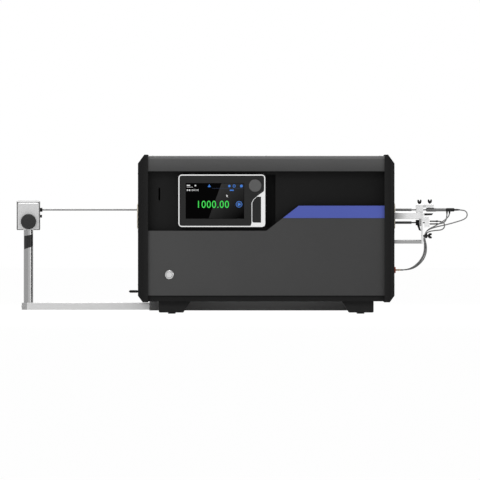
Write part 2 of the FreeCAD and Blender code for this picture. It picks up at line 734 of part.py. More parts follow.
def control_board():
    """Control board on four stand-offs over the tray, with its relay and heat sink."""
    body = new_body("control_board")
    low = "(tray_foot + sheet)"
    posts = new_sketch(body, "XY", low)
    for side in (-1, 1):
        for row in (-1, 1):
            circle(posts, "standoff_across", f"{side} * (board_wide / 2 - standoff_across)",
                   f"{row} * (board_tall / 2 - standoff_across)")
    body.AllowCompound = True
    pad(body, posts, "standoff_long")
    board = new_sketch(body, "XY", f"{low} + standoff_long")
    rectangle(board, "-board_wide / 2", "board_wide / 2", "-board_tall / 2", "board_tall / 2")
    pad(body, board, "board_thick")
    sink = new_sketch(body, "XY", f"{low} + standoff_long + board_thick")
    rectangle(sink, "sink_left", "sink_left + sink_wide", "-sink_deep / 2", "sink_deep / 2")
    pad(body, sink, "sink_tall")
    fin = new_sketch(body, "XY", f"{low} + standoff_long + board_thick + sink_tall")
    start = "(sink_left + fin_space - 1)"
    rectangle(fin, start, f"{start} + fin_space", "-sink_deep / 2 - 1", "sink_deep / 2 + 1")
    repeat_along(body, pocket(body, fin, "fin_tall"), "X", "fin_pitch", "fin_slots")
    place(body, "board_x", "-depth / 5")
    return body


def mains_inlet():
    """Appliance inlet: flange with bevelled corners, body and three contact blades."""
    body = new_body("mains_inlet")
    back = "(depth / 2 - cover_inset - sheet)"
    flange = new_sketch(body, "XZ", f"-{back}")
    rectangle(flange, "-inlet_flange / 2", "inlet_flange / 2", "-inlet_tall / 2 - inlet_wall",
              "inlet_tall / 2 + inlet_wall")
    pad(body, flange, "flange_thick", back=True)
    soften(body, "Chamfer", "flange_bevel", runs_along("Y"))
    block = new_sketch(body, "XZ", f"-{back}")
    rectangle(block, "inlet_fit - inlet_wide / 2", "inlet_wide / 2 - inlet_fit",
              "inlet_fit - inlet_tall / 2", "inlet_tall / 2 - inlet_fit")
    pad(body, block, "inlet_deep")
    mouth = new_sketch(body, "XZ", f"-{back} - flange_thick")
    rectangle(mouth, "inlet_wall - inlet_wide / 2", "inlet_wide / 2 - inlet_wall",
              "inlet_wall - inlet_tall / 2", "inlet_tall / 2 - inlet_wall")
    pocket(body, mouth, "inlet_deep - inlet_wall", back=True)
    blades = new_sketch(body, "XZ", f"flange_thick - {back}")
    for step in (-1, 0, 1):
        across = f"{step} * pin_place"
        up = "pin_rise" if step == 0 else "-pin_rise"
        rectangle(blades, f"{across} - pin_thick / 2", f"{across} + pin_thick / 2",
                  f"{up} - pin_tall / 2", f"{up} + pin_tall / 2")
    pad(body, blades, "inlet_deep - flange_bevel - flange_thick")
    place(body, "inlet_x", "0", "inlet_height")
    return body


def fan_frame():
    """Square fan housing with a round throat, four arms and the motor's seat."""
    body = new_body("fan_frame")
    frame = new_sketch(body, "XZ")
    rectangle(frame, "-fan_across / 2", "fan_across / 2", "-fan_across / 2", "fan_across / 2")
    circle(frame, "fan_bore")
    pad(body, frame, "fan_deep")
    arms = new_sketch(body, "XZ", "fan_deep - fan_arm")
    rectangle(arms, "-fan_bore / 2 - 1", "fan_bore / 2 + 1", "-fan_arm / 2", "fan_arm / 2")
    pad(body, arms, "3")
    arms = new_sketch(body, "XZ", "fan_deep - fan_arm")
    rectangle(arms, "-fan_arm / 2", "fan_arm / 2", "-fan_bore / 2 - 1", "fan_bore / 2 + 1")
    pad(body, arms, "3")
    seat = new_sketch(body, "XZ", "fan_deep - fan_arm")
    circle(seat, "fan_hub")
    pad(body, seat, "3")
    place(body, "fan_x", "depth / 2 - cover_inset - 2 * sheet", "fan_height")
    return body


def fan_rotor():
    """Fan wheel: a hub with slanted blades."""
    body = new_body("fan_rotor")
    hub = new_sketch(body, "XZ", "fan_step")
    circle(hub, "fan_hub")
    pad(body, hub, "fan_deep - 2 * fan_step")
    blade = new_sketch(body, "XY", "fan_hub / 2 - 1")
    polygon(blade, (
        ("-vane_reach", "-fan_step - 2"), ("vane_thick - vane_reach", "-fan_step - 2"),
        ("vane_reach", "fan_step - fan_deep"), ("vane_reach - vane_thick", "fan_step - fan_deep"),
    ))
    vane = pad(body, blade, "fan_bore / 2 - fan_gap - fan_hub / 2 + 1")
    repeat_round(body, vane, "Y", "fan_blades")
    place(body, "fan_x", "depth / 2 - cover_inset - 2 * sheet", "fan_height")
    return body


def power_button_bezel():
    """Bevelled metal ring round the power button."""
    body = new_body("power_button_bezel")
    profile = new_sketch(body, "XY")
    bore = "(power_cap / 2 + button_gap)"
    polygon(profile, (
        (bore, "12"), (bore, "-3"), ("power_across / 2 - 1.5", "-3"), ("power_across / 2", "-1.5"),
        ("power_across / 2", "0"), (f"{bore} + 0.9", "0"), (f"{bore} + 0.9", "12"),
    ))
    revolve(body, profile)
    place(body, "-power_x", f"-{PANEL_Y}", "power_height")
    return body


def power_button():
    """Push button with a dished face."""
    body = new_body("power_button")
    profile = new_sketch(body, "XY")
    polygon(profile, (
        ("0", "10"), ("0", "-2.2"), ("power_cap / 2 - 3", "-2.8"), ("power_cap / 2 - 0.6", "-2.8"),
        ("power_cap / 2", "-2.2"), ("power_cap / 2", "10"),
    ))
    revolve(body, profile)
    place(body, "-power_x", f"-{PANEL_Y}", "power_height")
    return body


DISPLAY_FRONT = f"({RECESS_Y} + display_deep)"


def display_housing():
    """Display case with rounded corners, the screen's window and cut-outs for its controls."""
    body = new_body("display_housing")
    face = new_sketch(body, "XZ", RECESS_Y)
    rectangle(face, "0", "display_wide", "0", "display_tall")
    pad(body, face, "display_deep")
    soften(body, "Fillet", "display_round", runs_along("Y"))
    step = new_sketch(body, "XZ", DISPLAY_FRONT)
    rectangle(step, "-1", "display_wide + 1", "-1", "display_tall + 1")
    keep = rectangle(step, "rim_wide", "display_wide - rim_wide", "rim_wide",
                     "display_tall - rim_wide")
    pocket(body, keep, "rim_deep")
    window = new_sketch(body, "XZ", DISPLAY_FRONT)
    rectangle(window, "display_left - screen_left", "display_left - screen_left + screen_wide",
              "screen_foot - display_foot", "screen_foot - display_foot + screen_tall")
    pocket(body, window, "glass_thick")
    holes = new_sketch(body, "XZ", DISPLAY_FRONT)
    circle(holes, "home_across + 2 * button_gap", "display_left - home_x",
           "home_height - display_foot")
    pocket(body, holes, "7")
    bay = new_sketch(body, "XZ", DISPLAY_FRONT)
    door_outline(bay, "display_left - door_left", "door_foot - display_foot", "0")
    pocket(body, bay, "bay_deep")
    place(body, "-display_left", "0", "display_foot")
    return body


def door_outline(made, left, foot, gap):
    """The port cover's outline: one slanted upper corner and one bevelled lower corner."""
    return polygon(made, (
        (f"{left} + {gap} + door_bevel", f"{foot} + {gap}"),
        (f"{left} + door_wide - {gap}", f"{foot} + {gap}"),
        (f"{left} + door_wide - {gap}", f"{foot} + door_tall - {gap}"),
        (f"{left} + {gap} + door_cut", f"{foot} + door_tall - {gap}"),
        (f"{left} + {gap} + door_cut / 3", f"{foot} + door_tall - {gap} - door_drop / 2"),
        (f"{left} + {gap}", f"{foot} + door_tall - {gap} - door_drop"),
        (f"{left} + {gap}", f"{foot} + {gap} + door_bevel"),
    ))


def bright_rim():
    """Bright frame round the display, widened at its lower right round the port cover."""
    body = new_body("bright_rim")
    face = new_sketch(body, "XZ", f"{DISPLAY_FRONT} - rim_deep")
    rectangle(face, "0", "display_wide", "0", "display_tall")
    pad(body, face, "rim_deep + rim_proud")
    soften(body, "Fillet", "display_round", runs_along("Y"))
    room = new_sketch(body, "XZ", f"{DISPLAY_FRONT} + rim_proud")
    rectangle(room, "rim_wide", "display_wide - rim_wide", "rim_wide", "display_tall - rim_wide")
    pocket(body, room, "rim_deep + rim_proud + 1")
    left = "(display_left - door_left)"
    right = "(display_wide - rim_wide / 2)"
    low = "(door_foot - display_foot)"
    corner = new_sketch(body, "XZ", DISPLAY_FRONT)
    polygon(corner, (
        (f"{left} - 4", "rim_wide / 2"), (right, "rim_wide / 2"),
        (right, f"{low} + door_tall + 15"),
        (f"{left} + door_cut + 1.5", f"{low} + door_tall + 2.2"),
        (f"{left} + door_cut / 3 - 0.8", f"{low} + door_tall - door_drop / 2 + 1"),
        (f"{left} - 1.6", f"{low} + door_tall - door_drop"), (f"{left} - 1.6", f"{low} - 1"),
    ))
    pad(body, corner, "rim_proud")
    door = new_sketch(body, "XZ", f"{DISPLAY_FRONT} + rim_proud")
    door_outline(door, left, low, "0")
    pocket(body, door, "rim_proud * 2")
    place(body, "-display_left", "0", "display_foot")
    return body


def display_glass():
    """Touch glass set flush into the window."""
    body = new_body("display_glass")
    face = new_sketch(body, "XZ", f"{DISPLAY_FRONT} - glass_thick")
    rectangle(face, "0.1", "screen_wide - 0.1", "0.1", "screen_tall - 0.1")
    pad(body, face, "glass_thick")
    place(body, "-screen_left", "0", "screen_foot")
    return body


def home_button():
    """Large round button with a rounded edge."""
    body = new_body("home_button")
    profile = new_sketch(body, "XY")
    polygon(profile, (
        ("0", "5"), ("0", "-home_proud"), ("home_across / 2 - 1", "-home_proud"),
        ("home_across / 2", "1 - home_proud"), ("home_across / 2", "5"),
    ))
    revolve(body, profile)
    place(body, "-home_x", f"-{DISPLAY_FRONT}", "home_height")
    return body


def port_cover():
    """Hinged cover over the display's ports, round along its hinged right edge."""
    body = new_body("port_cover")
    face = new_sketch(body, "XZ", f"{DISPLAY_FRONT} - door_thick")
    door_outline(face, "0", "0", "door_gap")
    pad(body, face, "door_thick")
    hinge_x = "(door_wide - door_gap - door_thick / 2)"
    square_edge = new_sketch(body, "XZ", DISPLAY_FRONT)
    rectangle(square_edge, hinge_x, "door_wide", "0", "door_tall")
    pocket(body, square_edge, "door_thick")
    knuckle = new_sketch(body, "XY", "door_gap")
    circle(knuckle, "door_thick", hinge_x, f"door_thick / 2 - {DISPLAY_FRONT}")
    pad(body, knuckle, "door_tall - 2 * door_gap")
    place(body, "-door_left", "0", "door_foot")
    return body


def port_sockets():
    """Two data sockets at the bottom of the port bay."""
    body = new_body("port_sockets")
    body.AllowCompound = True
    blocks = new_sketch(body, "XZ", f"{DISPLAY_FRONT} - bay_deep")
    mouths = new_sketch(body, "XZ", f"{DISPLAY_FRONT} - bay_deep + socket_long")
    for left, wide, tall in (("socket_left", "wide_socket", "tall_socket"),
                             ("socket_right", "small_socket", "short_socket")):
        rectangle(blocks, left, f"{left} + {wide}", "socket_foot", f"socket_foot + {tall}")
        rectangle(mouths, f"{left} + 1", f"{left} + {wide} - 1",
                  "socket_foot + 1", f"socket_foot + {tall} - 1")
    pad(body, blocks, "socket_long")
    pocket(body, mouths, "socket_long - 1")
    place(body, "-door_left", "0", "door_foot")
    return body


def base_rail():
    """Hollow extruded rail with a groove along its front and rear faces."""
    body = new_body("base_rail")
    start = "rail_tip - rail_left"
    outside = new_sketch(body, "YZ", start)
    rectangle(outside, "-rail_wide / 2", "rail_wide / 2", "rail_foot", "rail_foot + rail_tall")
    pad(body, outside, "rail_left + rail_right - rail_tip")
    soften(body, "Fillet", "1", runs_along("X"))
    inside = new_sketch(body, "YZ", start)
    for side in (-1, 1):
        near = f"{side} * rail_wall / 2"
        far = f"{side} * (rail_wide / 2 - rail_wall)"
        rectangle(inside, near if side > 0 else far, far if side > 0 else near,
                  "rail_foot + rail_wall", "rail_foot + rail_tall - rail_wall")
    pocket(body, inside, back=True)
    place(body)
    return body


def rail_end():
    """Moulded end piece that closes the rail on the left."""
    body = new_body("rail_end")
    outside = new_sketch(body, "YZ", "-rail_left")
    rectangle(outside, "-rail_wide / 2", "rail_wide / 2", "rail_foot", "rail_foot + rail_tall")
    pad(body, outside, "rail_tip")
    soften(body, "Fillet", "1", runs_along("X"))
    place(body)
    return body


def slanted_zone(name, across):
    """The part of a round bar between the sleeve's two slanted ends."""
    outline = doc.addObject("Sketcher::SketchObject", f"{name}_outline")
    outline.Placement.Rotation = FreeCAD.Rotation(V(1, 0, 0), 90)
    reach = "post_across"
    polygon(outline, (
        (f"-{reach}", "grip_foot - grip_drop * 2"), (reach, "grip_foot + grip_drop * 2"),
        (reach, "grip_top + grip_drop"), (f"-{reach}", "grip_top - grip_drop"),
    ))
    prism = doc.addObject("Part::Extrusion", f"{name}_prism")
    prism.Base = outline
    prism.DirMode = "Normal"
    prism.Symmetric = True
    prism.Solid = True
    prism.setExpression("LengthFwd", link("post_across * 2"))
    ring = doc.addObject("Part::Cut", f"{name}_ring")
    ring.Base = round_bar(f"{name}_outer", across, "rail_foot", "head_foot")
    ring.Tool = round_bar(f"{name}_core", "post_waist", "rail_foot", "head_foot")
    zone = doc.addObject("Part::Common", f"{name}_zone")
    zone.Base = prism
    zone.Tool = ring
    doc.recompute()
    return zone


def round_bar(name, across, low, high):
    """An upright round bar on the stand's own axis."""
    bar = doc.addObject("Part::Cylinder", name)
    bar.setExpression("Radius", link(f"({across}) / 2"))
    bar.setExpression("Height", link(f"({high}) - ({low})"))
    place(bar, "0", "0", low)
    return bar


def post():
    """Polished round post with a waist for the grip sleeve and a flat that keys the head."""
    bar = round_bar("post_bar", "post_across", "rail_foot + rail_tall", "post_top")
    flat = doc.addObject("Part::Box", "post_flat")
    flat.setExpression("Length", link("post_across"))
    flat.setExpression("Width", link("post_across"))
    flat.setExpression("Height", link("post_top"))
    place(flat, "-post_across / 2", "post_across / 2 - 1.2", "rail_foot")
    keyed = doc.addObject("Part::Cut", "post_keyed")
    keyed.Base = bar
    keyed.Tool = flat
    made = doc.addObject("Part::Cut", "post")
    made.Base = keyed
    made.Tool = slanted_zone("post_waist_cut", "post_across + 4")
    made.Label = "post"
    place(made, "-post_x")
    return made


def post_grip():
    """Black fluted sleeve round the post's waist, with slanted ends."""
    blank = slanted_zone("grip_blank", "grip_across")
    count = int(size("grip_ribs"))
    cutters = []
    for number in range(count):
        turn = 2 * math.pi * number / count
        cutter = doc.addObject("Part::Cylinder", f"grip_flute_{number + 1}")
        cutter.setExpression("Radius", link("grip_flute"))
        cutter.setExpression("Height", link("head_foot"))
        place(cutter, f"(grip_across / 2 + 0.3) * {math.cos(turn):.5f}",
              f"(grip_across / 2 + 0.3) * {math.sin(turn):.5f}")
        cutters.append(cutter)
    flutes = doc.addObject("Part::MultiFuse", "grip_flutes")
    flutes.Shapes = cutters
    made = doc.addObject("Part::Cut", "post_grip")
    made.Base = blank
    made.Tool = flutes
    made.Label = "post_grip"
    place(made, "-post_x")
    return made


def head_block():
    """Stand head: rounded block with the post's bore, the clamp screw's hole and two probe bores."""
    body = new_body("head_block")
    plan = new_sketch(body, "XY")
    rectangle(plan, "-head_wide / 2", "head_wide / 2", "-head_deep / 2", "head_deep / 2")
    pad(body, plan, "head_tall")
    soften(body, "Fillet", "head_round", runs_along("Z"))
    top = size("head_tall")
    soften(body, "Chamfer", "head_bevel",
           lambda edge: edge.BoundBox.ZMin > top - 0.01 and edge.Length > 12)
    bore = new_sketch(body, "XY")
    circle(bore, "post_across + 2 * head_fit", "head_left - head_wide / 2 - post_x")
    pocket(body, bore, "head_bore_top - head_foot", back=True)
    screw = new_sketch(body, "XZ", "head_deep / 2")
    circle(screw, "knob_shank + 0.2", "head_left - head_wide / 2 - knob_x",
           "knob_height - head_foot")
    pocket(body, screw, "head_deep / 2 - post_across / 2 + 3")
    seats = new_sketch(body, "YZ", "head_wide / 2")
    circle(seats, "probe_across", "0", "axis_height + well_place - head_foot")
    circle(seats, "guide_bore", "0", "axis_height - head_foot")
    pocket(body, seats, "probe_seat")
    place(body, "head_wide / 2 - head_left", "0", "head_foot")
    return body


def clamp_knob():
    """Fluted black knob with a raised rim and its screw."""
    body = new_body("clamp_knob")
    disc = new_sketch(body, "XZ", "head_deep / 2 + 0.3")
    circle(disc, "knob_across")
    pad(body, disc, "knob_thick")
    rim = size("head_deep") / 2 + 0.3 + size("knob_thick")
    soften(body, "Chamfer", "2", lambda edge: edge.BoundBox.YMin < 0.1 - rim and edge.Length > 60)
    flute = new_sketch(body, "XZ", "head_deep / 2 + 2.5")
    circle(flute, "5", "knob_across / 2 + 1.4")
    cut = pocket(body, flute, "knob_thick + 2", back=True)
    repeat_round(body, cut, "Y", "knob_flutes")
    dish = new_sketch(body, "XZ", "head_deep / 2 + 0.3 + knob_thick")
    circle(dish, "knob_across * 0.62")
    pocket(body, dish, "1")
    shank = new_sketch(body, "XZ", "post_across / 2 + 0.6")
    circle(shank, "knob_shank")
    pad(body, shank, "head_deep / 2 - post_across / 2")
    place(body, "-knob_x", "0", "knob_height")
    return body


def probe_glands():
    """Two bushes on the head: a wide one round the reference probe and a slim spare guide."""
    body = new_body("probe_glands")
    body.AllowCompound = True
    start = new_sketch(body, "YZ")
    circle(start, "gland_across", "0", "axis_height + well_place")
    circle(start, "probe_across", "0", "axis_height + well_place")
    pad(body, start, "gland_long")
    guide = new_sketch(body, "YZ")
    circle(guide, "spare_across + 2", "0", "axis_height")
    circle(guide, "guide_bore", "0", "axis_height")
    pad(body, guide, "gland_long - 1")
    place(body, "head_wide - head_left")
    return body


def reference_probe():
    """Thin sheathed probe with a rounded tip, held in the head."""
    body = new_body("reference_probe")
    profile = new_sketch(body, "XZ")
    start = "(head_wide - head_left - probe_seat)"
    polygon(profile, (
        (start, "0"), (start, "probe_across / 2"), ("-probe_tip - 1", "probe_across / 2"),
        ("-probe_tip", "probe_across / 2 - 1"), ("-probe_tip", "0"),
    ))
    revolve(body, profile, "H_Axis")
    place(body, "0", "0", "axis_height + well_place")
    return body


def rail_catch():
    """Small black thumb turn at the cap's foot that locks the rail, on a pin through the cap."""
    body = new_body("rail_catch")
    arm = new_sketch(body, "XZ")
    end = "-catch_long - catch_gap"
    polygon(arm, (
        (end, "1.4 - catch_thick / 2"), (f"{end} + 3", "-catch_thick / 2"),
        ("-catch_gap", "-catch_thick / 2"), ("-catch_gap", "catch_thick / 2"),
        (f"{end} + 3", "catch_thick / 2"), (end, "catch_thick / 2 - 1.4"),
    ))
    pad(body, arm, "catch_wide", both=True)
    pin = new_sketch(body, "YZ", "-catch_gap - 1")
    circle(pin, "catch_pin")
    pad(body, pin, "cap_wall + 1")
    place(body, "-span / 2", "catch_y", "catch_height")
    return body


def holder_bar():
    """Square bar with bevelled edges, fixed to the right cap."""
    body = new_body("holder_bar")
    section = new_sketch(body, "YZ", "span / 2")
    rectangle(section, "-bar_across / 2", "bar_across / 2", "-bar_across / 2", "bar_across / 2")
    pad(body, section, "bar_end - span / 2")
    soften(body, "Chamfer", "1", runs_along("X"))
    ears = new_sketch(body, "XZ")
    rectangle(ears, "bar_end - 1", "upper_lever_x + lever_thick / 2",
              "upper_lever_height - bar_middle - lever_thick / 2",
              "upper_lever_height - bar_middle + lever_thick / 2")
    pad(body, ears, "lever_wide + 2 * lever_gap + 2 * lever_ear", both=True)
    slot = new_sketch(body, "XZ")
    rectangle(slot, "upper_lever_x - lever_thick / 2 - lever_gap", "upper_lever_x + lever_thick",
              "-bar_across", "bar_across")
    pocket(body, slot, "lever_wide + 2 * lever_gap", both=True)
    pin = new_sketch(body, "XZ")
    circle(pin, "lever_pin", "upper_lever_x", "upper_lever_height - bar_middle")
    pad(body, pin, "lever_wide + 2 * lever_gap + lever_ear", both=True)
    place(body, "0", "holder_y", "bar_middle")
    return body


def holder_rod():
    """Round rod below the bar, from the cap to the upright plate."""
    body = new_body("holder_rod")
    section = new_sketch(body, "YZ", "span / 2")
    circle(section, "rod_across")
    pad(body, section, "plate_x - span / 2")
    place(body, "0", "holder_y", "rod_height")
    return body


def holder_plate():
    """Upright plate with a notch round the bar and a raised strip behind the lower collar."""
    body = new_body("holder_plate")
    face = new_sketch(body, "YZ", "plate_x")
    low = "(bar_middle - bar_across / 2)"
    left = "(holder_y - bar_across / 2)"
    right = "(holder_y + bar_across / 2)"
    top = "(bar_middle + bar_across / 2)"
    polygon(face, (
        (f"{left} - 5", "plate_foot"), (f"{right} + 5", "plate_foot"), ("plate_back", "plate_foot + 34"),
        ("plate_back", top), (right, top), (right, low), (left, low), (left, top),
        (f"{left} - 5", top),
    ))
    pad(body, face, "plate_thick")
    strip = new_sketch(body, "YZ", "collar_x + collar_wide")
    rectangle(strip, "-7", "7", "axis_height - well_place - 9", "axis_height - well_place + 9")
    pad(body, strip, "plate_x - collar_x - collar_wide")
    hole = new_sketch(body, "YZ", "collar_x + collar_wide")
    circle(hole, "neck_across", "0", "axis_height - well_place")
    pocket(body, hole, back=True)
    place(body)
    return body


def clamp_block(label, left, wide, foot, tall, front, bore):
    """Clamp block with a bore for the probe and a split above it."""
    body = new_body(label)
    plan = new_sketch(body, "XY", foot)
    rectangle(plan, left, f"{left} + {wide}", front, "well_across + 3")
    pad(body, plan, tall)
    soften(body, "Chamfer", "1", runs_along("X"))
    hole = new_sketch(body, "YZ", left)
    circle(hole, bore, "0", "axis_height + well_place")
    pocket(body, hole, back=True)
    place(body)
    return body


def near_clamp():
    """Clamp on the bar that holds the upper probe's neck."""
    return clamp_block("near_clamp", "near_x", "near_wide", "(bar_middle + bar_across / 2)",
                       "clamp_tall", "holder_y - bar_across / 2", "neck_across")


def far_clamp():
    """Clamp over the upper probe's body, carried by an arm from the near clamp."""
    body = new_body("far_clamp")
    plan = new_sketch(body, "XY", "far_foot")
    rectangle(plan, "far_x", "far_x + far_wide", "-9", "well_across + 3")
    pad(body, plan, "far_tall")
    soften(body, "Chamfer", "1", runs_along("X"))
    arm = new_sketch(body, "XY", "far_foot + 1")
    rectangle(arm, "near_x + near_wide", "far_x + 1", "3", "well_across + 2")
    pad(body, arm, "far_tall - 3")
    place(body)
    return body


def wing_screw(label, wings_apart):
    """Wing screw: stem, hub and two rounded wings that lean outwards."""
    body = new_body(label)
    stem = new_sketch(body, "XY", "wing_gap")
    circle(stem, "wing_stem + 1.5")
    pad(body, stem, "4")
    wings = new_sketch(body, "XZ", "-wing_thick / 2")
    polygon(wings, (
        ("-1.2", "wing_gap + 1"), ("1.2", "wing_gap + 1"), (f"{wings_apart} / 2", "wing_tall * 0.62"),
        (f"{wings_apart} / 2 - 0.6", "wing_tall - 0.8"), (f"{wings_apart} / 2 - 2", "wing_tall"),
        (f"{wings_apart} / 2 - 3.6", "wing_tall - 1.4"), ("0", "wing_tall * 0.5"),
        (f"3.6 - {wings_apart} / 2", "wing_tall - 1.4"), (f"2 - {wings_apart} / 2", "wing_tall"),
        (f"0.6 - {wings_apart} / 2", "wing_tall - 0.8"), (f"-{wings_apart} / 2", "wing_tall * 0.62"),
    ))
    pad(body, wings, "wing_thick")
    return body


def wing_screws():
    """One wing screw on each clamp and one on the side of the plate."""
    near = wing_screw("near_wing_screw", "wing_span")
    place(near, "near_x + near_wide / 2", "0", "bar_middle + bar_across / 2 + clamp_tall")
    far = wing_screw("far_wing_screw", "wing_span")
    place(far, "far_x + far_wide / 2", "0", "far_foot + far_tall")
    side = wing_screw("side_wing_screw", "wing_span + 3")
    side.Placement.Rotation = FreeCAD.Rotation(V(0, 1, 0), 90)
    place(side, "plate_x + plate_thick", "holder_y", "side_wing_height")
    return [near, far, side]


def cam_lever(label, length, pivot, turn):
    """Flat cam lever with a round eye and a tapered, slanted tip."""
    body = new_body(label)
    arm = new_sketch(body, "XZ")
    polygon(arm, (
        ("0", "-lever_thick / 2"), (f"{length} - 3", "-lever_thick / 2 + 0.8"),
        (length, "lever_thick / 2 - 1"), (f"{length} - 0.6", "lever_thick / 2"),
        ("0", "lever_thick / 2"),
    ))
    pad(body, arm, "lever_wide", both=True)
    eye = new_sketch(body, "XZ")
    circle(eye, "lever_thick")
    pad(body, eye, "lever_wide", both=True)
    hole = new_sketch(body, "XZ")
    circle(hole, "lever_pin + 0.1")
    pocket(body, hole, "lever_wide * 2", both=True)
    body.Placement.Rotation = FreeCAD.Rotation(V(0, 1, 0), turn)
    place(body, *pivot)
    return body


def cam_levers():
    """The upper lever at the bar's end and the lower lever before the collar."""
    upper = cam_lever("upper_lever", "upper_lever_long",
                      ("upper_lever_x", "holder_y", "upper_lever_height"), 0)
    lower = cam_lever("lower_lever", "lower_lever_long",
                      ("lower_lever_x", "-collar_half - lever_gap - lever_wide / 2",
                       "lower_lever_height"), 72)
    return [upper, lower]


def upper_probe():
    """Upper probe: sheath with a rounded tip, thin neck and thick grip body."""
    body = new_body("upper_probe")
    profile = new_sketch(body, "XZ")
    polygon(profile, (
        ("sheath_tip", "0"), ("sheath_tip", "sheath_across / 2 - 1.5"),
        ("sheath_tip + 1.5", "sheath_across / 2"), ("sheath_end", "sheath_across / 2"),
        ("sheath_end", "neck_across / 2"), ("near_x + near_wide + 7", "neck_across / 2"),
        ("near_x + near_wide + 9", "grip_body / 2"), ("grip_end", "grip_body / 2"),
        ("grip_end", "stem_across / 2"), ("hilt_x", "stem_across / 2"), ("hilt_x", "0"),
    ))
    revolve(body, profile, "H_Axis")
    place(body, "0", "0", "axis_height + well_place")
    return body


def upper_handle():
    """Dark handle at the end of the upper probe, with a rounded end."""
    body = new_body("upper_handle")
    profile = new_sketch(body, "XZ")
    polygon(profile, (
        ("hilt_x", "0"), ("hilt_x", "hilt_across / 2 - 0.8"), ("hilt_x + 0.8", "hilt_across / 2"),
        ("hilt_x + hilt_long - 2", "hilt_across / 2"), ("hilt_x + hilt_long", "hilt_across / 2 - 2"),
        ("hilt_x + hilt_long", "0"),
    ))
    revolve(body, profile, "H_Axis")
    place(body, "0", "0", "axis_height + well_place")
    return body


def lower_probe():
    """Lower probe: sheath with a rounded tip and a thin neck through the plate."""
    body = new_body("lower_probe")
    profile = new_sketch(body, "XZ")
    polygon(profile, (
        ("sheath_tip", "0"), ("sheath_tip", "sheath_across / 2 - 1.5"),
        ("sheath_tip + 1.5", "sheath_across / 2"), ("sheath_end", "sheath_across / 2"),
        ("sheath_end", "neck_across / 2"), ("lower_x", "neck_across / 2"), ("lower_x", "0"),
    ))
    revolve(body, profile, "H_Axis")
    place(body, "0", "0", "axis_height - well_place")
    return body


def probe_collar():
    """Dark collar round the lower probe's neck, with the lower lever's pivot pin."""
    body = new_body("probe_collar")
    section = new_sketch(body, "YZ", "collar_x")
    rectangle(section, "-collar_half", "collar_half", "-collar_tall / 2", "collar_tall / 2")
    circle(section, "neck_across")
    pad(body, section, "collar_wide")
    soften(body, "Fillet", "1.5", runs_along("X"))
    pin = new_sketch(body, "XZ", "collar_half - 1")
    circle(pin, "lever_pin", "lower_lever_x", "lower_lever_height - axis_height + well_place")
    pad(body, pin, "lever_wide + lever_gap + 1")
    place(body, "0", "0", "axis_height - well_place")
    return body


def lower_terminal():
    """Bright terminal block behind the plate, on a stub, with two flat lugs."""
    body = new_body("lower_terminal")
    block = new_sketch(body, "XY", "lower_foot")
    rectangle(block, "lower_x", "lower_x + lower_wide", "-terminal_wide / 2", "terminal_wide / 2")
    pad(body, block, "lower_tall")
    soften(body, "Chamfer", "1", runs_along("Z"))
    for row in (-1, 1):
        lug = new_sketch(body, "XY", f"axis_height - well_place + {row} * lug_rise - lug_thick / 2")
        rectangle(lug, "lower_x + lower_wide - 1", "lug_end", f"{row} * lug_place - lug_wide / 2",
                  f"{row} * lug_place + lug_wide / 2")
        pad(body, lug, "lug_thick")
    stub = new_sketch(body, "YZ", "plate_x + plate_thick")
    rectangle(stub, "-7", "-4.5", "lower_foot + 15", "lower_foot + 24")
    pad(body, stub, "lower_x - plate_x - plate_thick + 1")
    place(body)
    return body


def lead_socket():
    """Round socket on the right cap for the leads' plug."""
    body = new_body("lead_socket")
    ring = new_sketch(body, "YZ", "span / 2")
    circle(ring, "socket_across")
    pad(body, ring, "socket_deep")
    edge_x = size("span") / 2 + size("socket_deep")
    soften(body, "Chamfer", "1",
           lambda edge: edge.BoundBox.XMin > edge_x - 0.01 and edge.Length > 20)
    place(body, "0", "0", "socket_height")
    return body


def lead_plug():
    """Flat plug whose end takes three leads side by side."""
    body = new_body("lead_plug")
    plan = new_sketch(body, "XY")
    start = "(span / 2 + socket_deep)"
    polygon(plan, (
        (start, "-plug_wide / 2 + 1"), (f"{start} + 1", "-plug_wide / 2"),
        (f"{start} + plug_long - 2", "-plug_wide / 2"), (f"{start} + plug_long", "2 - plug_wide / 2"),
        (f"{start} + plug_long", "plug_wide / 2 - 2"), (f"{start} + plug_long - 2", "plug_wide / 2"),
        (f"{start} + 1", "plug_wide / 2"), (start, "plug_wide / 2 - 1"),
    ))
    pad(body, plan, "plug_thick", both=True)
    place(body, "0", "0", "socket_height")
    return body


def cord_path(points, least):
    """Straight runs joined by tangent arcs, each as large as its two runs allow."""
    edges = []
    radii = []
    last = points[0]
    for before, corner, after in zip(points, points[1:], points[2:]):
        way_in = (corner - before).normalize()
        way_out = (after - corner).normalize()
        half_turn = way_in.getAngle(way_out) / 2
        run = min(before.distanceToPoint(corner), corner.distanceToPoint(after))
        radius = 0.45 * run / math.tan(half_turn)
        radii.append(radius)
        reach = 0.45 * run
        first = corner - way_in * reach
        end = corner + way_out * reach
        inward = (way_out - way_in).normalize()
        middle = corner + inward * (radius / math.cos(half_turn) - radius)
        edges.append(Part.LineSegment(last, first).toShape())
        edges.append(Part.Arc(first, middle, end).toShape())
        last = end
    edges.append(Part.LineSegment(last, points[-1]).toShape())
    if min(radii) < least:
        print(f"smallest radius {min(radii):.1f} under {least:.1f}")
    return Part.Wire(edges), radii


def lead(label, points):
    """One loose lead: a round tube along its route."""
    across = size("lead_across")
    path, radii = cord_path(points, 3 * across)
    start = points[0]
    way = (points[1] - points[0]).normalize()
    section = Part.Face(Part.Wire(Part.makeCircle(across / 2, start, way)))
    tube = path.makePipe(section)
    wanted = math.pi * across ** 2 / 4 * path.Length
    print(f"{label}: length {path.Length:.1f}, volume ratio {tube.Volume / wanted:.4f}, radii",
          " ".join(f"{radius:.0f}" for radius in radii))
    made = doc.addObject("Part::Feature", label)
    made.Label = label
    made.Shape = tube
    return made


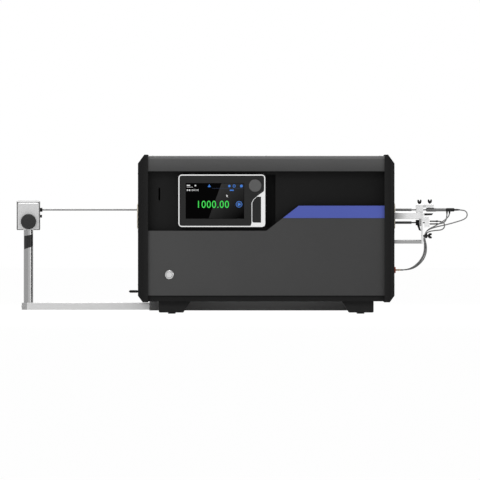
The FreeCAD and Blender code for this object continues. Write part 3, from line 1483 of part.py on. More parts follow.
def leads():
    """Four leads: three run down behind the plate to the plug, one links handle and terminal."""
    handle_end = size("hilt_x") + size("hilt_long")
    hilt_x = size("hilt_x")
    hilt_low = size("hilt_across") / 2
    upper = size("axis_height") + size("well_place")
    lug_end = size("lug_end")
    lug_high = size("axis_height") - size("well_place") + size("lug_rise")
    lug_low = lug_high - 2 * size("lug_rise")
    lug_side = size("lug_place")
    drop_x = size("lower_x") - 1.9
    plug_end = size("span") / 2 + size("socket_deep") + size("plug_long")
    plug_z = size("socket_height")
    side = size("lead_across") + 0.6

    def tail(y, out):
        """The shared way down from the terminal to the plug."""
        return [
            V(drop_x + 4 + out, y, plug_z + 63 - out / 2), V(drop_x + 3 + out, y, plug_z + 41 - out / 2),
            V(drop_x - 7 + out, y, plug_z + 22 - out / 2),
            V(drop_x - 25 + out / 2, y, plug_z + 6 - out / 2),
            V(plug_end + 14, y, plug_z), V(plug_end, y, plug_z),
        ]

    first = lead("lead_1", [
        V(handle_end, 0, upper), V(handle_end + 19, 0, upper), V(handle_end + 27, 0, upper - 6),
        V(handle_end + 27.5, 0, upper - 16.5), V(handle_end + 20, 0, upper - 24.5),
        V(handle_end + 2, 0, upper - 31), V(handle_end - 21, 0, upper - 37.5),
        V(handle_end - 46, 0, upper - 42.5), V(drop_x + 7, 0, upper - 51),
        V(drop_x + 1, 0, upper - 68),
    ] + tail(0, 3))
    second = lead("lead_2", [
        V(hilt_x + 9, 0, upper - hilt_low), V(hilt_x + 9, 0, upper - hilt_low - 9),
        V(hilt_x + 2.5, -4.4, upper - hilt_low - 17), V(hilt_x - 10, -7.2, upper - 30.5),
        V(hilt_x - 25, -7.6, upper - 39.5), V(hilt_x - 40, -6, upper - 46.5),
        V(drop_x + 6, -side, upper - 54), V(drop_x, -side, upper - 69),
    ] + tail(-side, -2))
    third = lead("lead_3", [
        V(lug_end, lug_side, lug_high), V(lug_end + 16, lug_side, lug_high),
        V(lug_end + 22.5, side, lug_high - 6.6), V(lug_end + 22.3, side, lug_high - 15.7),
        V(lug_end + 15.2, side, lug_high - 22), V(lug_end - 1, side, lug_high - 23),
        V(drop_x + 11, side, lug_high - 26), V(drop_x + 1, side, lug_high - 36),
        V(drop_x, side, lug_high - 50),
    ] + tail(side, 0))
    fourth = lead("lead_4", [
        V(lug_end, -lug_side, lug_low), V(lug_end + 11.6, -lug_side, lug_low),
        V(lug_end + 23.6, -1.2, lug_high - 2), V(hilt_x + 2.6, 0, upper - hilt_low - 15.2),
        V(hilt_x + 2.6, 0, upper - hilt_low),
    ])
    return [first, second, third, fourth]


def build():
    """Every sub-part of the furnace, its stand and its holder."""
    parts = [end_cap("left_end_cap", -1), end_cap("right_end_cap", 1)]
    parts += [make() for make in (
        top_cover, front_panel, colour_strip, recess_panel, grip_pocket, bottom_tray, rear_panel,
        feet, foot_pads, slide_channel, equalizing_block, control_board,
        mains_inlet, fan_frame, fan_rotor, power_button_bezel, power_button,
        display_housing, bright_rim, display_glass, home_button,
        port_cover, port_sockets, base_rail, rail_end, post, post_grip, head_block, clamp_knob,
        probe_glands, reference_probe, rail_catch, holder_bar, holder_rod, holder_plate,
        near_clamp, far_clamp, upper_probe, upper_handle, lower_probe, probe_collar,
        lower_terminal, lead_socket, lead_plug,
    )]
    parts.append(hollow_round("furnace_tube", "bore + 2 * tube_wall", "bore", "tube_long"))
    parts.append(hollow_round("heater", "bore + 2 * tube_wall + 2 * coil_wire",
                              "bore + 2 * tube_wall + 0.2", "coil_long"))
    parts.append(hollow_round("insulation", "wool_across",
                              "bore + 2 * tube_wall + 2 * coil_wire + 1", "wool_long"))
    parts += [port_ring("left_port_ring", -1), port_ring("right_port_ring", 1)]
    parts += wing_screws() + cam_levers() + leads()
    return parts


def check(parts):
    """Stop when any object failed or any sub-part has no sound solid."""
    doc.recompute()
    for thing in doc.Objects:
        if "Invalid" in thing.State or "Error" in thing.State:
            raise ValueError(f"{thing.Name} failed: {thing.State}")
    for part in parts:
        if part.Shape.isNull() or not part.Shape.isValid():
            raise ValueError(f"{part.Label} has no sound shape")


def write(parts):
    """One STEP file for each sub-part."""
    os.makedirs("parts", exist_ok=True)
    for part in parts:
        part.Shape.exportStep(f"parts/{part.Label}.step")


fill_sheet()
PARTS = build()
check(PARTS)
write(PARTS)
print(len(PARTS), "sub-parts")
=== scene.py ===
import math

import bmesh
import bpy
from bpy.props import FloatProperty, FloatVectorProperty, PointerProperty, StringProperty
from mathutils import Matrix, Vector


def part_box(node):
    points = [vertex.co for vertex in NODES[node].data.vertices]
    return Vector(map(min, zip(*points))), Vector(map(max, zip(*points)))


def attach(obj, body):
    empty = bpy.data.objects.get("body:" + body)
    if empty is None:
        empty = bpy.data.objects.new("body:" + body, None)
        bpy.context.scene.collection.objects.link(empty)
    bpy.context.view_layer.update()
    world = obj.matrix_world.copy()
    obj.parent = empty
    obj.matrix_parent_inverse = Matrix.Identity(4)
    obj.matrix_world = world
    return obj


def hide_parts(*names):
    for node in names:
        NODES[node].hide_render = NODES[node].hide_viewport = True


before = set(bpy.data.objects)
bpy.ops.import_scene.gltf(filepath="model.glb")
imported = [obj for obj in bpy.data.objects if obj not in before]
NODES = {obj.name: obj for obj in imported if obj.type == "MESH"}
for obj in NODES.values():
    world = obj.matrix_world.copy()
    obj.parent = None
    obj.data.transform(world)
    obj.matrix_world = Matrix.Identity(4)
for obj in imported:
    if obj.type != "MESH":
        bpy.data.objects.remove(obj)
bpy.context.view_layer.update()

bl_info = {
    "name": "Calibration furnace dressing",
    "version": (1, 0, 0),
    "blender": (4, 5, 0),
    "location": "View3D > Sidebar > Furnace",
    "description": "Dresses the thermocouple calibration furnace with finishes, screen and fittings",
    "category": "Object",
}

MM = 0.001
SHARP_FROM = math.radians(35)
WIRE_SIDES = 8
LEFT, RIGHT, FRONT, REAR, UP, DOWN = (-1, 0, 0), (1, 0, 0), (0, -1, 0), (0, 1, 0), (0, 0, 1), (0, 0, -1)


def tone(red, green=None, blue=None):
    """A colour written as sRGB screen values from 0 to 255, or one grey, given back in linear light."""
    out = []
    for value in (red, red, red) if green is None else (red, green, blue):
        share = value / 255
        out.append(share / 12.92 if share <= 0.04045 else ((share + 0.055) / 1.055) ** 2.4)
    return tuple(out)


def colour(name, description, value):
    """A colour that the panel offers."""
    return FloatVectorProperty(
        name=name, description=description, default=value, subtype="COLOR", size=3, min=0.0, max=1.0
    )


def length(name, description, value):
    """A size that the panel offers, in metres."""
    return FloatProperty(name=name, description=description, default=value, unit="LENGTH", min=0.0)


class FurnacePaints(bpy.types.PropertyGroup):
    """Colours of the painted, moulded and coated surfaces"""

    cap: colour("End caps", "Fine textured black of both end caps", tone(35))
    # Painted shade: the caps' slanted sides get a darker black where they turn away from the light.
    cap_edge: colour("Cap bevels", "Darker black of the caps' slanted sides", tone(24))
    # Painted light: the cover's front fades from a darker grey at its lower edge to a paler grey at its
    # upper edge, as the light falls from above.
    cover: colour("Cover", "Grey of the top cover's front, near its upper edge", tone(87))
    cover_low: colour("Cover, lower edge", "Grey of the top cover's front, near its lower edge", tone(70))
    # Painted light: the lower front panel is paler at its left and darker at its right, as the light falls
    # from the left.
    panel: colour("Front panel", "Grey at the left of the lower front panel", tone(77))
    panel_right: colour("Front panel, right", "Grey at the right of the lower front panel", tone(69))
    # Painted light: the recessed panel is darker towards its right end, as the light falls from the left.
    recess: colour("Recess", "Black of the recessed panel behind the display", tone(33))
    recess_right: colour("Recess, right", "Black of the recessed panel at its right end", tone(27))
    strip: colour("Strip", "Blue of the slanted strip", tone(82, 95, 175))
    tray: colour("Tray", "Black of the bottom tray", tone(34))
    # Painted light: this grey is paler than the channel's own dark paint, to make up for the shade that the
    # channel sits in.
    channel: colour("Channel", "Grey of the channel that guides the rail", tone(165))
    foot: colour("Feet", "Black of the moulded feet", tone(40))
    # The gasket named here is a black band of painted shade along the display rim's inner edge.
    rubber: colour("Pads", "Black of the rubber pads, the sleeves and the gasket", tone(22))
    display: colour("Display housing", "Charcoal of the display's moulded body", tone(44))
    button: colour("Home button", "Grey of the round home button", tone(95))
    knob: colour("Knobs", "Black of knobs, levers and wing screws", tone(28))


class FurnaceMetals(bpy.types.PropertyGroup):
    """Colours of the metals, ceramics and leads"""

    aluminium: colour("Aluminium", "Satin anodised aluminium of the rail and the head", tone(208))
    # Painted shade: a darker aluminium for the rail's end, which turns away from the light, and for the
    # bar's root by the cap.
    aluminium_end: colour("Rail end", "Darker aluminium of the rail's end and the bar's root", tone(158))
    steel: colour("Steel", "Polished steel of screws and sockets", tone(188))
    upper_probe: colour("Upper sheath", "Sheath of the upper right probe", tone(112))
    lower_probe: colour("Lower sheath", "Darker sheath of the lower right probe", tone(66))
    # Painted reflection: the polished post is darker on its left and brighter on its right, split by a
    # sharp line, standing in for what it reflects.
    post_dark: colour("Post, dark side", "Darker side of the polished post", tone(150))
    post: colour("Post", "Bright side of the polished post", tone(176))
    blasted: colour("Blasted holder", "Bead blasted aluminium of the holder", tone(226))
    rod: colour("Holder rod", "Ground rod under the holder bar", tone(160))
    stand_probe: colour("Reference sheath", "Sheath of the reference probe on the stand", tone(122))
    # Painted reflection: the cheeks' darker grey stands in for the dark surroundings reflected along the
    # head's sides.
    cheek: colour("Head cheeks", "Grey of the folded cheeks round the head", tone(104))
    bright: colour("Bright rim", "Plated rim of the display, and the holder's bar", tone(235))
    heat_tint: colour("Heat tint", "Straw brown where a sheath has been hot", tone(120, 96, 70))
    ceramic: colour("Ceramic", "Fired alumina of the tube and rings", tone(226, 218, 200))
    nickel: colour("Nickel", "Scaled nickel of the equalizing block", tone(128, 120, 110))
    wool: colour("Wool", "Ceramic fibre insulation", tone(232, 228, 218))
    element: colour("Heater", "Oxidised heater winding", tone(92, 74, 62))
    board: colour("Board", "Green solder mask of the control board", tone(26, 82, 46))
    lead: colour("Leads", "Grey braid of the probe leads", tone(120))
    plug: colour("Plug", "Tan moulding of the lead plug", tone(176, 150, 112))
    socket: colour("Socket", "Brick red of the lead socket", tone(150, 62, 38))


class FurnaceScreen(bpy.types.PropertyGroup):
    """What the lit screen shows"""

    reading: StringProperty(name="Reading", description="Large number on the screen", default="1000.00")
    digits: colour("Digits", "Green of the large number", tone(42, 188, 64))
    icons: colour("Icons", "Blue of the small marks", tone(42, 100, 178))
    marks: colour("Marks", "White of the small marks", tone(196))
    digit_height: length("Digit height", "Height of the large number", 18 * MM)


class FurnaceFittings(bpy.types.PropertyGroup):
    """Sizes of the small fittings"""

    rim_shown: length("Rim shown", "Width of the bright rim that the gasket leaves free", 2.7 * MM)
    rim_corner: length("Rim corner", "Outer corner radius of the display", 9 * MM)
    screw_head: length("Screw head", "Diameter of the button head screws", 5.5 * MM)
    screw_rise: length("Screw rise", "Height of a button head over its panel", 1.6 * MM)
    side_screw_height: length("Side screw height", "Height of the side wing screw", 194.5 * MM)
    lead_thickness: length("Lead thickness", "Diameter of a probe lead", 3 * MM)
    frame_width: length("Frame width", "Width of the picture at the front panel", 1197 * MM)
    camera_distance: length("Camera distance", "From the camera to the front panel", 36.0)


def settings(group):
    """The add-on's settings of one group."""
    return getattr(bpy.context.scene, "furnace_" + group)


GRAIN_OUTPUTS = [("Colour", "Color"), ("Roughness", "Float"), ("Height", "Float")]


def new_group(name, inputs, outputs):
    """A shader node group with its two end nodes, and named sockets from (name, kind, value)."""
    tree = bpy.data.node_groups.new(name, "ShaderNodeTree")
    for label, kind, value in inputs:
        made = tree.interface.new_socket(name=label, in_out="INPUT", socket_type="NodeSocket" + kind)
        made.default_value = value
    for label, kind in outputs:
        tree.interface.new_socket(name=label, in_out="OUTPUT", socket_type="NodeSocket" + kind)
    start = tree.nodes.new("NodeGroupInput")
    end = tree.nodes.new("NodeGroupOutput")
    return tree, start, end


def add(tree, kind, label, **values):
    """One named node, with its settings."""
    node = tree.nodes.new("ShaderNode" + kind)
    node.label = label
    for key, value in values.items():
        setattr(node, key, value)
    return node


def sum_up(tree, label, operation, first, second):
    """A math node between two sockets or numbers."""
    node = add(tree, "Math", label, operation=operation)
    for place, source in enumerate((first, second)):
        if isinstance(source, (int, float)):
            node.inputs[place].default_value = source
        else:
            tree.links.new(source, node.inputs[place])
    return node.outputs[0]


def shade_by(tree, base, amount):
    """A colour multiplied by a grey amount."""
    node = add(tree, "VectorMath", "Shade the colour", operation="SCALE")
    tree.links.new(base, node.inputs[0])
    tree.links.new(amount, node.inputs["Scale"])
    return node.outputs[0]


def swing_shade(tree, start, end, pattern, middle):
    """Lets a pattern swing the colour and the gloss of a group to both sides of its middle value."""
    centred = sum_up(tree, "Centre it", "SUBTRACT", pattern, middle)
    swing = sum_up(tree, "Swing of shade", "MULTIPLY", centred, start.outputs["Mottle"])
    around = sum_up(tree, "Around full shade", "ADD", swing, 1.0)
    tree.links.new(shade_by(tree, start.outputs["Colour"], around), end.inputs["Colour"])
    swing = sum_up(tree, "Swing of gloss", "MULTIPLY", centred, start.outputs["Spread"])
    tree.links.new(sum_up(tree, "Gloss", "ADD", swing, start.outputs["Roughness"]), end.inputs["Roughness"])


def paint_grain():
    """Sprayed or moulded grain: a fine orange peel with slow changes of shade."""
    tree, start, end = new_group(
        "paint_grain",
        [("Colour", "Color", (0.1, 0.1, 0.1, 1)), ("Mottle", "Float", 0.1), ("Grain scale", "Float", 900.0),
         ("Roughness", "Float", 0.5), ("Spread", "Float", 0.1)],
        GRAIN_OUTPUTS,
    )
    place = add(tree, "TexCoord", "Place on the part")
    fine = add(tree, "TexNoise", "Fine grain")
    fine.inputs["Detail"].default_value = 3
    tree.links.new(place.outputs["Object"], fine.inputs["Vector"])
    tree.links.new(start.outputs["Grain scale"], fine.inputs["Scale"])
    slow = add(tree, "TexNoise", "Slow change of shade")
    slow.inputs["Scale"].default_value = 7
    slow.inputs["Detail"].default_value = 4
    tree.links.new(place.outputs["Object"], slow.inputs["Vector"])
    both = sum_up(tree, "Join both", "ADD", fine.outputs["Fac"], slow.outputs["Fac"])
    swing_shade(tree, start, end, both, 1.0)
    tree.links.new(fine.outputs["Fac"], end.inputs["Height"])
    return tree


def brushed_lines():
    """Brushed or drawn metal: noise drawn out along one direction."""
    tree, start, end = new_group(
        "brushed_lines",
        [("Colour", "Color", (0.7, 0.7, 0.7, 1)), ("Mottle", "Float", 0.06),
         ("Stretch", "Vector", (4, 900, 900)), ("Roughness", "Float", 0.3), ("Spread", "Float", 0.12)],
        GRAIN_OUTPUTS,
    )
    place = add(tree, "TexCoord", "Place on the part")
    drawn = add(tree, "VectorMath", "Draw out", operation="MULTIPLY")
    tree.links.new(place.outputs["Object"], drawn.inputs[0])
    tree.links.new(start.outputs["Stretch"], drawn.inputs[1])
    lines = add(tree, "TexNoise", "Lines")
    lines.inputs["Scale"].default_value = 1
    lines.inputs["Detail"].default_value = 4
    tree.links.new(drawn.outputs[0], lines.inputs["Vector"])
    swing_shade(tree, start, end, lines.outputs["Fac"], 0.5)
    tree.links.new(lines.outputs["Fac"], end.inputs["Height"])
    return tree


def slow_fade():
    """A change from one colour to another along a direction, between two distances."""
    tree, start, end = new_group(
        "slow_fade",
        [("First", "Color", (0, 0, 0, 1)), ("Last", "Color", (1, 1, 1, 1)),
         ("Direction", "Vector", (1, 0, 0)), ("From", "Float", 0.0), ("To", "Float", 1.0)],
        [("Colour", "Color")],
    )
    place = add(tree, "TexCoord", "Place on the part")
    along = add(tree, "VectorMath", "Distance along", operation="DOT_PRODUCT")
    tree.links.new(place.outputs["Object"], along.inputs[0])
    tree.links.new(start.outputs["Direction"], along.inputs[1])
    share = add(tree, "MapRange", "Share of the way")
    tree.links.new(along.outputs["Value"], share.inputs["Value"])
    tree.links.new(start.outputs["From"], share.inputs["From Min"])
    tree.links.new(start.outputs["To"], share.inputs["From Max"])
    mixed = add(tree, "Mix", "Blend of both", data_type="RGBA")
    tree.links.new(share.outputs[0], mixed.inputs[0])
    tree.links.new(start.outputs["First"], mixed.inputs[6])
    tree.links.new(start.outputs["Last"], mixed.inputs[7])
    tree.links.new(mixed.outputs[2], end.inputs["Colour"])
    return tree


def braided_cover():
    """The crossing strands of a braided lead."""
    tree, start, end = new_group(
        "braided_cover",
        [("Colour", "Color", (0.2, 0.2, 0.2, 1)), ("Strand scale", "Float", 1400.0)],
        GRAIN_OUTPUTS,
    )
    place = add(tree, "TexCoord", "Place on the part")
    waves = []
    for label, slant in (("Strands one way", (1, 1, 1)), ("Strands the other way", (1, -1, -1))):
        turned = add(tree, "VectorMath", "Slant", operation="MULTIPLY")
        turned.inputs[1].default_value = slant
        tree.links.new(place.outputs["Object"], turned.inputs[0])
        wave = add(tree, "TexWave", label, bands_direction="DIAGONAL")
        wave.inputs["Distortion"].default_value = 0.6
        tree.links.new(turned.outputs[0], wave.inputs["Vector"])
        tree.links.new(start.outputs["Strand scale"], wave.inputs["Scale"])
        waves.append(wave.outputs["Fac"])
    over = sum_up(tree, "Strands on top", "MAXIMUM", *waves)
    light = sum_up(tree, "Light on strands", "MULTIPLY", over, 0.5)
    shade = sum_up(tree, "Shade", "ADD", light, 0.6)
    tree.links.new(shade_by(tree, start.outputs["Colour"], shade), end.inputs["Colour"])
    less = sum_up(tree, "Less", "MULTIPLY", over, -0.2)
    tree.links.new(sum_up(tree, "Gloss", "ADD", less, 0.7), end.inputs["Roughness"])
    tree.links.new(over, end.inputs["Height"])
    return tree


def shared(effect):
    """The node group of an effect, made once."""
    return bpy.data.node_groups.get(effect.__name__) or effect()


def set_sockets(node, values):
    """Writes values to a node's inputs, a colour with its full alpha."""
    for label, value in values.items():
        is_colour = not isinstance(value, (int, float)) and node.inputs[label].type == "RGBA"
        node.inputs[label].default_value = (*value, 1) if is_colour else value


def surface(name, effect, values, relief=0.1, depth=0.05 * MM, fade=None, **shader_values):
    """A material whose colour, gloss and relief come from one shared effect."""
    made = bpy.data.materials.get(name)
    if made:
        return made
    made = bpy.data.materials.new(name)
    made.use_nodes = True
    tree = made.node_tree
    shader = tree.nodes["Principled BSDF"]
    set_sockets(shader, {label.replace("_", " "): value for label, value in shader_values.items()})
    grain = add(tree, "Group", "Grain", node_tree=shared(effect))
    set_sockets(grain, values)
    if fade:
        blend = add(tree, "Group", "Fade", node_tree=shared(slow_fade))
        set_sockets(blend, dict(zip(("First", "Last", "Direction", "From", "To"), fade)))
        tree.links.new(blend.outputs["Colour"], grain.inputs["Colour"])
    tree.links.new(grain.outputs["Colour"], shader.inputs["Base Color"])
    tree.links.new(grain.outputs["Roughness"], shader.inputs["Roughness"])
    bump = add(tree, "Bump", "Relief")
    set_sockets(bump, {"Strength": relief, "Distance": depth})
    tree.links.new(grain.outputs["Height"], bump.inputs["Height"])
    tree.links.new(bump.outputs["Normal"], shader.inputs["Normal"])
    return made


def moulded(name, shade, mottle, grain, roughness, spread, relief, shine=0.5, **others):
    """A moulded, sprayed or fired finish with a mottled shade and an uneven gloss."""
    values = {"Colour": shade, "Mottle": mottle, "Grain scale": grain, "Roughness": roughness,
              "Spread": spread}
    return surface(name, paint_grain, values, relief, Specular_IOR_Level=shine, **others)


def brushed(name, shade, mottle, stretch, roughness, spread, relief, metallic, **others):
    """A brushed, drawn or ground finish, its lines drawn out where stretch has its small number."""
    values = {"Colour": shade, "Mottle": mottle, "Stretch": stretch, "Roughness": roughness,
              "Spread": spread}
    return surface(name, brushed_lines, values, relief, Metallic=metallic, **others)


def glowing(name, shade, strength):
    """A lit mark on the screen, slightly uneven as a backlight is."""
    made = moulded(name, shade, mottle=0.12, grain=1500, roughness=0.3, spread=0.1, relief=0)
    tree = made.node_tree
    grain = next(node for node in tree.nodes if node.type == "GROUP")
    shader = tree.nodes["Principled BSDF"]
    tree.links.new(grain.outputs["Colour"], shader.inputs["Emission Color"])
    shader.inputs["Emission Strength"].default_value = strength
    return made


def dress(material, *nodes):
    """Gives CAD nodes a finish."""
    for node in nodes:
        for slot in NODES[node].material_slots:
            slot.material = material


def in_metres(values):
    return tuple(value * MM for value in values)


def to_line(at, facing):
    """The place of a form drawn about Z, once it stands at a point and faces a direction."""
    turn = Vector((0, 0, 1)).rotation_difference(Vector(facing))
    return Matrix.Translation(Vector(at)) @ turn.to_matrix().to_4x4()


def ride_along(made, material, body):
    """Links a piece, gives it its material and lets it ride on a body."""
    bpy.context.scene.collection.objects.link(made)
    made.data.materials.append(material)
    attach(made, body)
    return made


def make_piece(name, form, material, body):
    """Turns a form into a smooth piece, sharp where it bends hard. The material may be given by name."""
    mesh = bpy.data.meshes.new(name)
    bmesh.ops.remove_doubles(form, verts=form.verts, dist=0.001 * MM)
    bmesh.ops.recalc_face_normals(form, faces=form.faces)
    form.to_mesh(mesh)
    form.free()
    mesh.shade_smooth()
    mesh.set_sharp_from_angle(angle=SHARP_FROM)
    if isinstance(material, str):
        material = bpy.data.materials[material]
    return ride_along(bpy.data.objects.new(name, mesh), material, body)


def round_ring(angle):
    """A circle's reach is the same at every angle."""
    return 1.0


def hex_ring(angle):
    """How far a hexagon's side is at an angle, with its corners at 1."""
    half_side = math.radians(30)
    return math.cos(half_side) / math.cos((angle + half_side) % (2 * half_side) - half_side)


def sew(form, first, second):
    """Faces between two closed rows of vertices."""
    for step in range(len(first)):
        after = (step + 1) % len(first)
        form.faces.new((first[step], first[after], second[after], second[step]))


def close_off(form, rows):
    """Joins rows of vertices into a body with a face at both ends."""
    for low, high in zip(rows, rows[1:]):
        sew(form, low, high)
    form.faces.new(rows[0])
    form.faces.new(list(reversed(rows[-1])))


def add_turned(form, rings, at, facing, count=36):
    """Adds a turned body: rings of (radius, height, outline) in millimetres about a line."""
    place = to_line(at, facing)
    rows = []
    for radius, height, outline in rings:
        row = []
        for step in range(count):
            angle = math.tau * step / count
            reach = radius * MM * outline(angle)
            spot = Vector((reach * math.cos(angle), reach * math.sin(angle), height * MM))
            row.append(form.verts.new(place @ spot))
        rows.append(row)
    close_off(form, rows)


def add_plate(form, outline, at, thick):
    """Adds a flat plate that faces the front: an outline of (x, z), its back's place and its thickness."""
    close_off(form, [[form.verts.new((x, y, z)) for x, z in outline] for y in (at, at - thick)])


def soften(form, offset):
    """Rounds all edges of a form."""
    bmesh.ops.bevel(form, geom=list(form.edges), offset=offset, segments=2, affect="EDGES")


def add_hoop(form, radius, wire, at, facing, count):
    """Adds a wire hoop round a line."""
    place = to_line(at, facing)
    rows = []
    for step in range(count):
        angle = math.tau * step / count
        row = []
        for slant in (math.tau * turn / WIRE_SIDES for turn in range(WIRE_SIDES)):
            reach = radius + wire * math.cos(slant)
            spot = Vector((reach * math.cos(angle), reach * math.sin(angle), wire * math.sin(slant)))
            row.append(form.verts.new(place @ spot))
        rows.append(row)
    for step in range(count):
        sew(form, rows[(step + 1) % count], rows[step])


def ring_points(centre, radius, count):
    """Points (x, z) evenly round a centre."""
    turns = [math.tau * step / count for step in range(count)]
    return [(centre[0] + radius * math.cos(turn), centre[1] + radius * math.sin(turn)) for turn in turns]


# A button head with its hexagon socket: shares of the head's radius and of its rise.
HEAD_FORM = ((1, 0.12, round_ring), (0.93, 0.5, round_ring), (0.78, 0.84, round_ring), (0.6, 1, round_ring),
             (0.5, 1, hex_ring), (0.47, 0.25, hex_ring))


def add_screws(name, places, facing, diameter, rise, body, material):
    """Button head screws with hexagon sockets, their rims let in a little."""
    form = bmesh.new()
    radius, rise = diameter / 2 / MM, rise / MM
    rings = [(radius * 0.96, -0.4, round_ring)]
    rings += [(radius * wide, rise * high, outline) for wide, high, outline in HEAD_FORM]
    for at in places:
        add_turned(form, rings, at, facing, 24)
    return make_piece(name, form, material, body)


def black_steel():
    return moulded("blackened_steel", tone(34), mottle=0.2, grain=1800, roughness=0.38, spread=0.2,
                   relief=0.08, Metallic=0.6)


VIEW_CENTRE = (-65.4 * MM, 184 * MM)


class FURNACE_OT_camera(bpy.types.Operator):
    """Adds the camera that sees the furnace from the front through a long lens"""

    bl_idname = "furnace.camera"
    bl_label = "Camera"

    def execute(self, context):
        sizes = settings("fittings")
        data = bpy.data.cameras.new("front_camera")
        data.sensor_width = 36
        data.lens = data.sensor_width * sizes.camera_distance / sizes.frame_width
        data.clip_end = 200
        eye = bpy.data.objects.new("front_camera", data)
        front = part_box("front_panel")[0][1]
        eye.location = (VIEW_CENTRE[0], front - sizes.camera_distance, VIEW_CENTRE[1])
        eye.rotation_euler = (math.radians(90), 0, 0)
        context.scene.collection.objects.link(eye)
        context.scene.camera = eye
        return {"FINISHED"}


# The points (x, y, z) of each lead in millimetres, from its probe to the plug or the handle.
LEAD_ROUTES = {
    "lead_1": [(472, 0, 259.6), (493.5, 0, 259.6), (503, 0, 253.6), (503.5, 0, 242.6), (495, 0, 235.1),
               (474, 0, 228.6), (451, 0, 222.1), (426, 0, 217.1), (401.7, 0, 208.6), (395.7, 0, 191.6),
               (401.7, 0, 170.5), (400.7, 0, 148.5), (390.7, 0, 129.5), (371.2, 0, 113.5), (349.9, 0, 109),
               (335.9, 0, 109)],
    "lead_2": [(459.1, 0, 255.2), (459.1, 0, 246.2), (452.6, -4.4, 238.2), (440.1, -7.2, 229.1),
               (425.1, -7.6, 220.1), (410.1, -6, 213.1), (400.7, -3.6, 205.6), (394.7, -3.6, 190.6),
               (396.7, -3.6, 173), (395.7, -3.6, 151), (385.7, -3.6, 132), (368.7, -3.6, 116),
               (349.9, -3.6, 109), (335.9, -3.6, 109)],
    "lead_3": [(424.4, 3, 231), (440.4, 3, 231), (446.9, 3.6, 224.4), (446.7, 3.6, 215.3),
               (439.6, 3.6, 209), (423.4, 3.6, 208), (405.7, 3.6, 205), (395.7, 3.6, 195),
               (394.7, 3.6, 181), (398.7, 3.6, 172), (397.7, 3.6, 150), (387.7, 3.6, 131),
               (369.7, 3.6, 115), (349.9, 3.6, 109), (335.9, 3.6, 109)],
    "lead_4": [(424.4, -3, 224.2), (436, -3, 224.2), (448, -1.2, 229), (452.7, 0, 240), (452.7, 0, 255.2)],
}


class FURNACE_OT_leads(bpy.types.Operator):
    """Lays the four grey probe leads from the probes down to the plug"""

    bl_idname = "furnace.leads"
    bl_label = "Leads"

    def execute(self, context):
        sizes = settings("fittings")
        strands = {"Colour": settings("metals").lead, "Strand scale": 1100}
        braid = surface("lead_braid", braided_cover, strands, relief=0.5, depth=0.2 * MM, Metallic=0.35)
        for name, route in LEAD_ROUTES.items():
            data = bpy.data.curves.new(name + "_braid", "CURVE")
            data.dimensions = "3D"
            data.resolution_u = 12
            data.bevel_depth = sizes.lead_thickness / 2
            data.bevel_resolution = 4
            data.use_fill_caps = True
            line = data.splines.new("NURBS")
            line.points.add(len(route) - 1)
            for point, spot in zip(line.points, route):
                point.co = (*in_metres(spot), 1)
            line.order_u = 3
            line.use_endpoint_u = True
            lead = ride_along(bpy.data.objects.new(name + "_braid", data), braid, "furnace")
            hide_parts(name)
        return {"FINISHED"}


def who_looks(tree):
    """1 for what the camera, a mirror or a glass sees, 0 for light on its way to a surface."""
    seen = add(tree, "LightPath", "Who looks").outputs
    looks = sum_up(tree, "Camera or mirror", "MAXIMUM", seen["Is Camera Ray"], seen["Is Glossy Ray"])
    return sum_up(tree, "Or through glass", "MAXIMUM", looks, seen["Is Transmission Ray"])


def studio_paper():
    """White paper that keeps a trace of the shadow on it."""
    paper = bpy.data.materials.new("studio_paper")
    paper.use_nodes = True
    tree = paper.node_tree
    shader = tree.nodes["Principled BSDF"]
    set_sockets(shader, {"Base Color": tone(238), "Roughness": 0.9, "Specular IOR Level": 0.1})
    share = sum_up(tree, "Share of plain white", "MULTIPLY", who_looks(tree), 0.94)
    white = add(tree, "Emission", "Plain white")
    white.inputs["Strength"].default_value = 1.03
    mixed = add(tree, "MixShader", "Paper with the shadow kept")
    tree.links.new(share, mixed.inputs[0])
    tree.links.new(shader.outputs[0], mixed.inputs[1])
    tree.links.new(white.outputs[0], mixed.inputs[2])
    tree.links.new(mixed.outputs[0], tree.nodes["Material Output"].inputs["Surface"])
    return paper


# name, place in metres, width and height in metres, power in watts
LAMPS = (
    ("key_lamp", (-2.2, -3.4, 3.2), (2.4, 1.6), 66),
    ("side_lamp", (3.2, -1.4, 1.1), (3.4, 2.2), 44),
    ("top_lamp", (0, 0.2, 3.4), (3.0, 1.4), 52),
    ("rear_lamp", (-1.5, 3.6, 2.4), (2.4, 1.6), 62),
)
LAMP_AIM = Vector((0, 0, 0.2))
FLOOR_REACH = 60


class FURNACE_OT_stage(bpy.types.Operator):
    """Adds the white floor, the soft lamps and the world light"""

    bl_idname = "furnace.stage"
    bl_label = "Floor and lamps"

    def execute(self, context):
        mesh = bpy.data.meshes.new("studio_floor")
        corners = [(x * FLOOR_REACH, y * FLOOR_REACH, 0) for x, y in ((-1, -1), (1, -1), (1, 1), (-1, 1))]
        mesh.from_pydata(corners, [], [(0, 1, 2, 3)])
        mesh.materials.append(studio_paper())
        floor = bpy.data.objects.new("studio_floor", mesh)
        context.scene.collection.objects.link(floor)
        world = bpy.data.worlds.new("studio_air")
        world.use_nodes = True
        air = world.node_tree
        back = air.nodes["Background"]
        back.inputs["Color"].default_value = (1, 1, 1, 1)
        extra = sum_up(air, "White behind", "MULTIPLY", who_looks(air), 0.62)
        air.links.new(sum_up(air, "Plain light", "ADD", extra, 0.38), back.inputs["Strength"])
        context.scene.world = world
        for name, place, size, power in LAMPS:
            data = bpy.data.lights.new(name, "AREA")
            data.shape = "RECTANGLE"
            data.size, data.size_y = size
            data.energy = power
            lamp = bpy.data.objects.new(name, data)
            lamp.location = place
            lamp.rotation_euler = (LAMP_AIM - Vector(place)).to_track_quat("-Z", "Y").to_euler()
            context.scene.collection.objects.link(lamp)
        return {"FINISHED"}


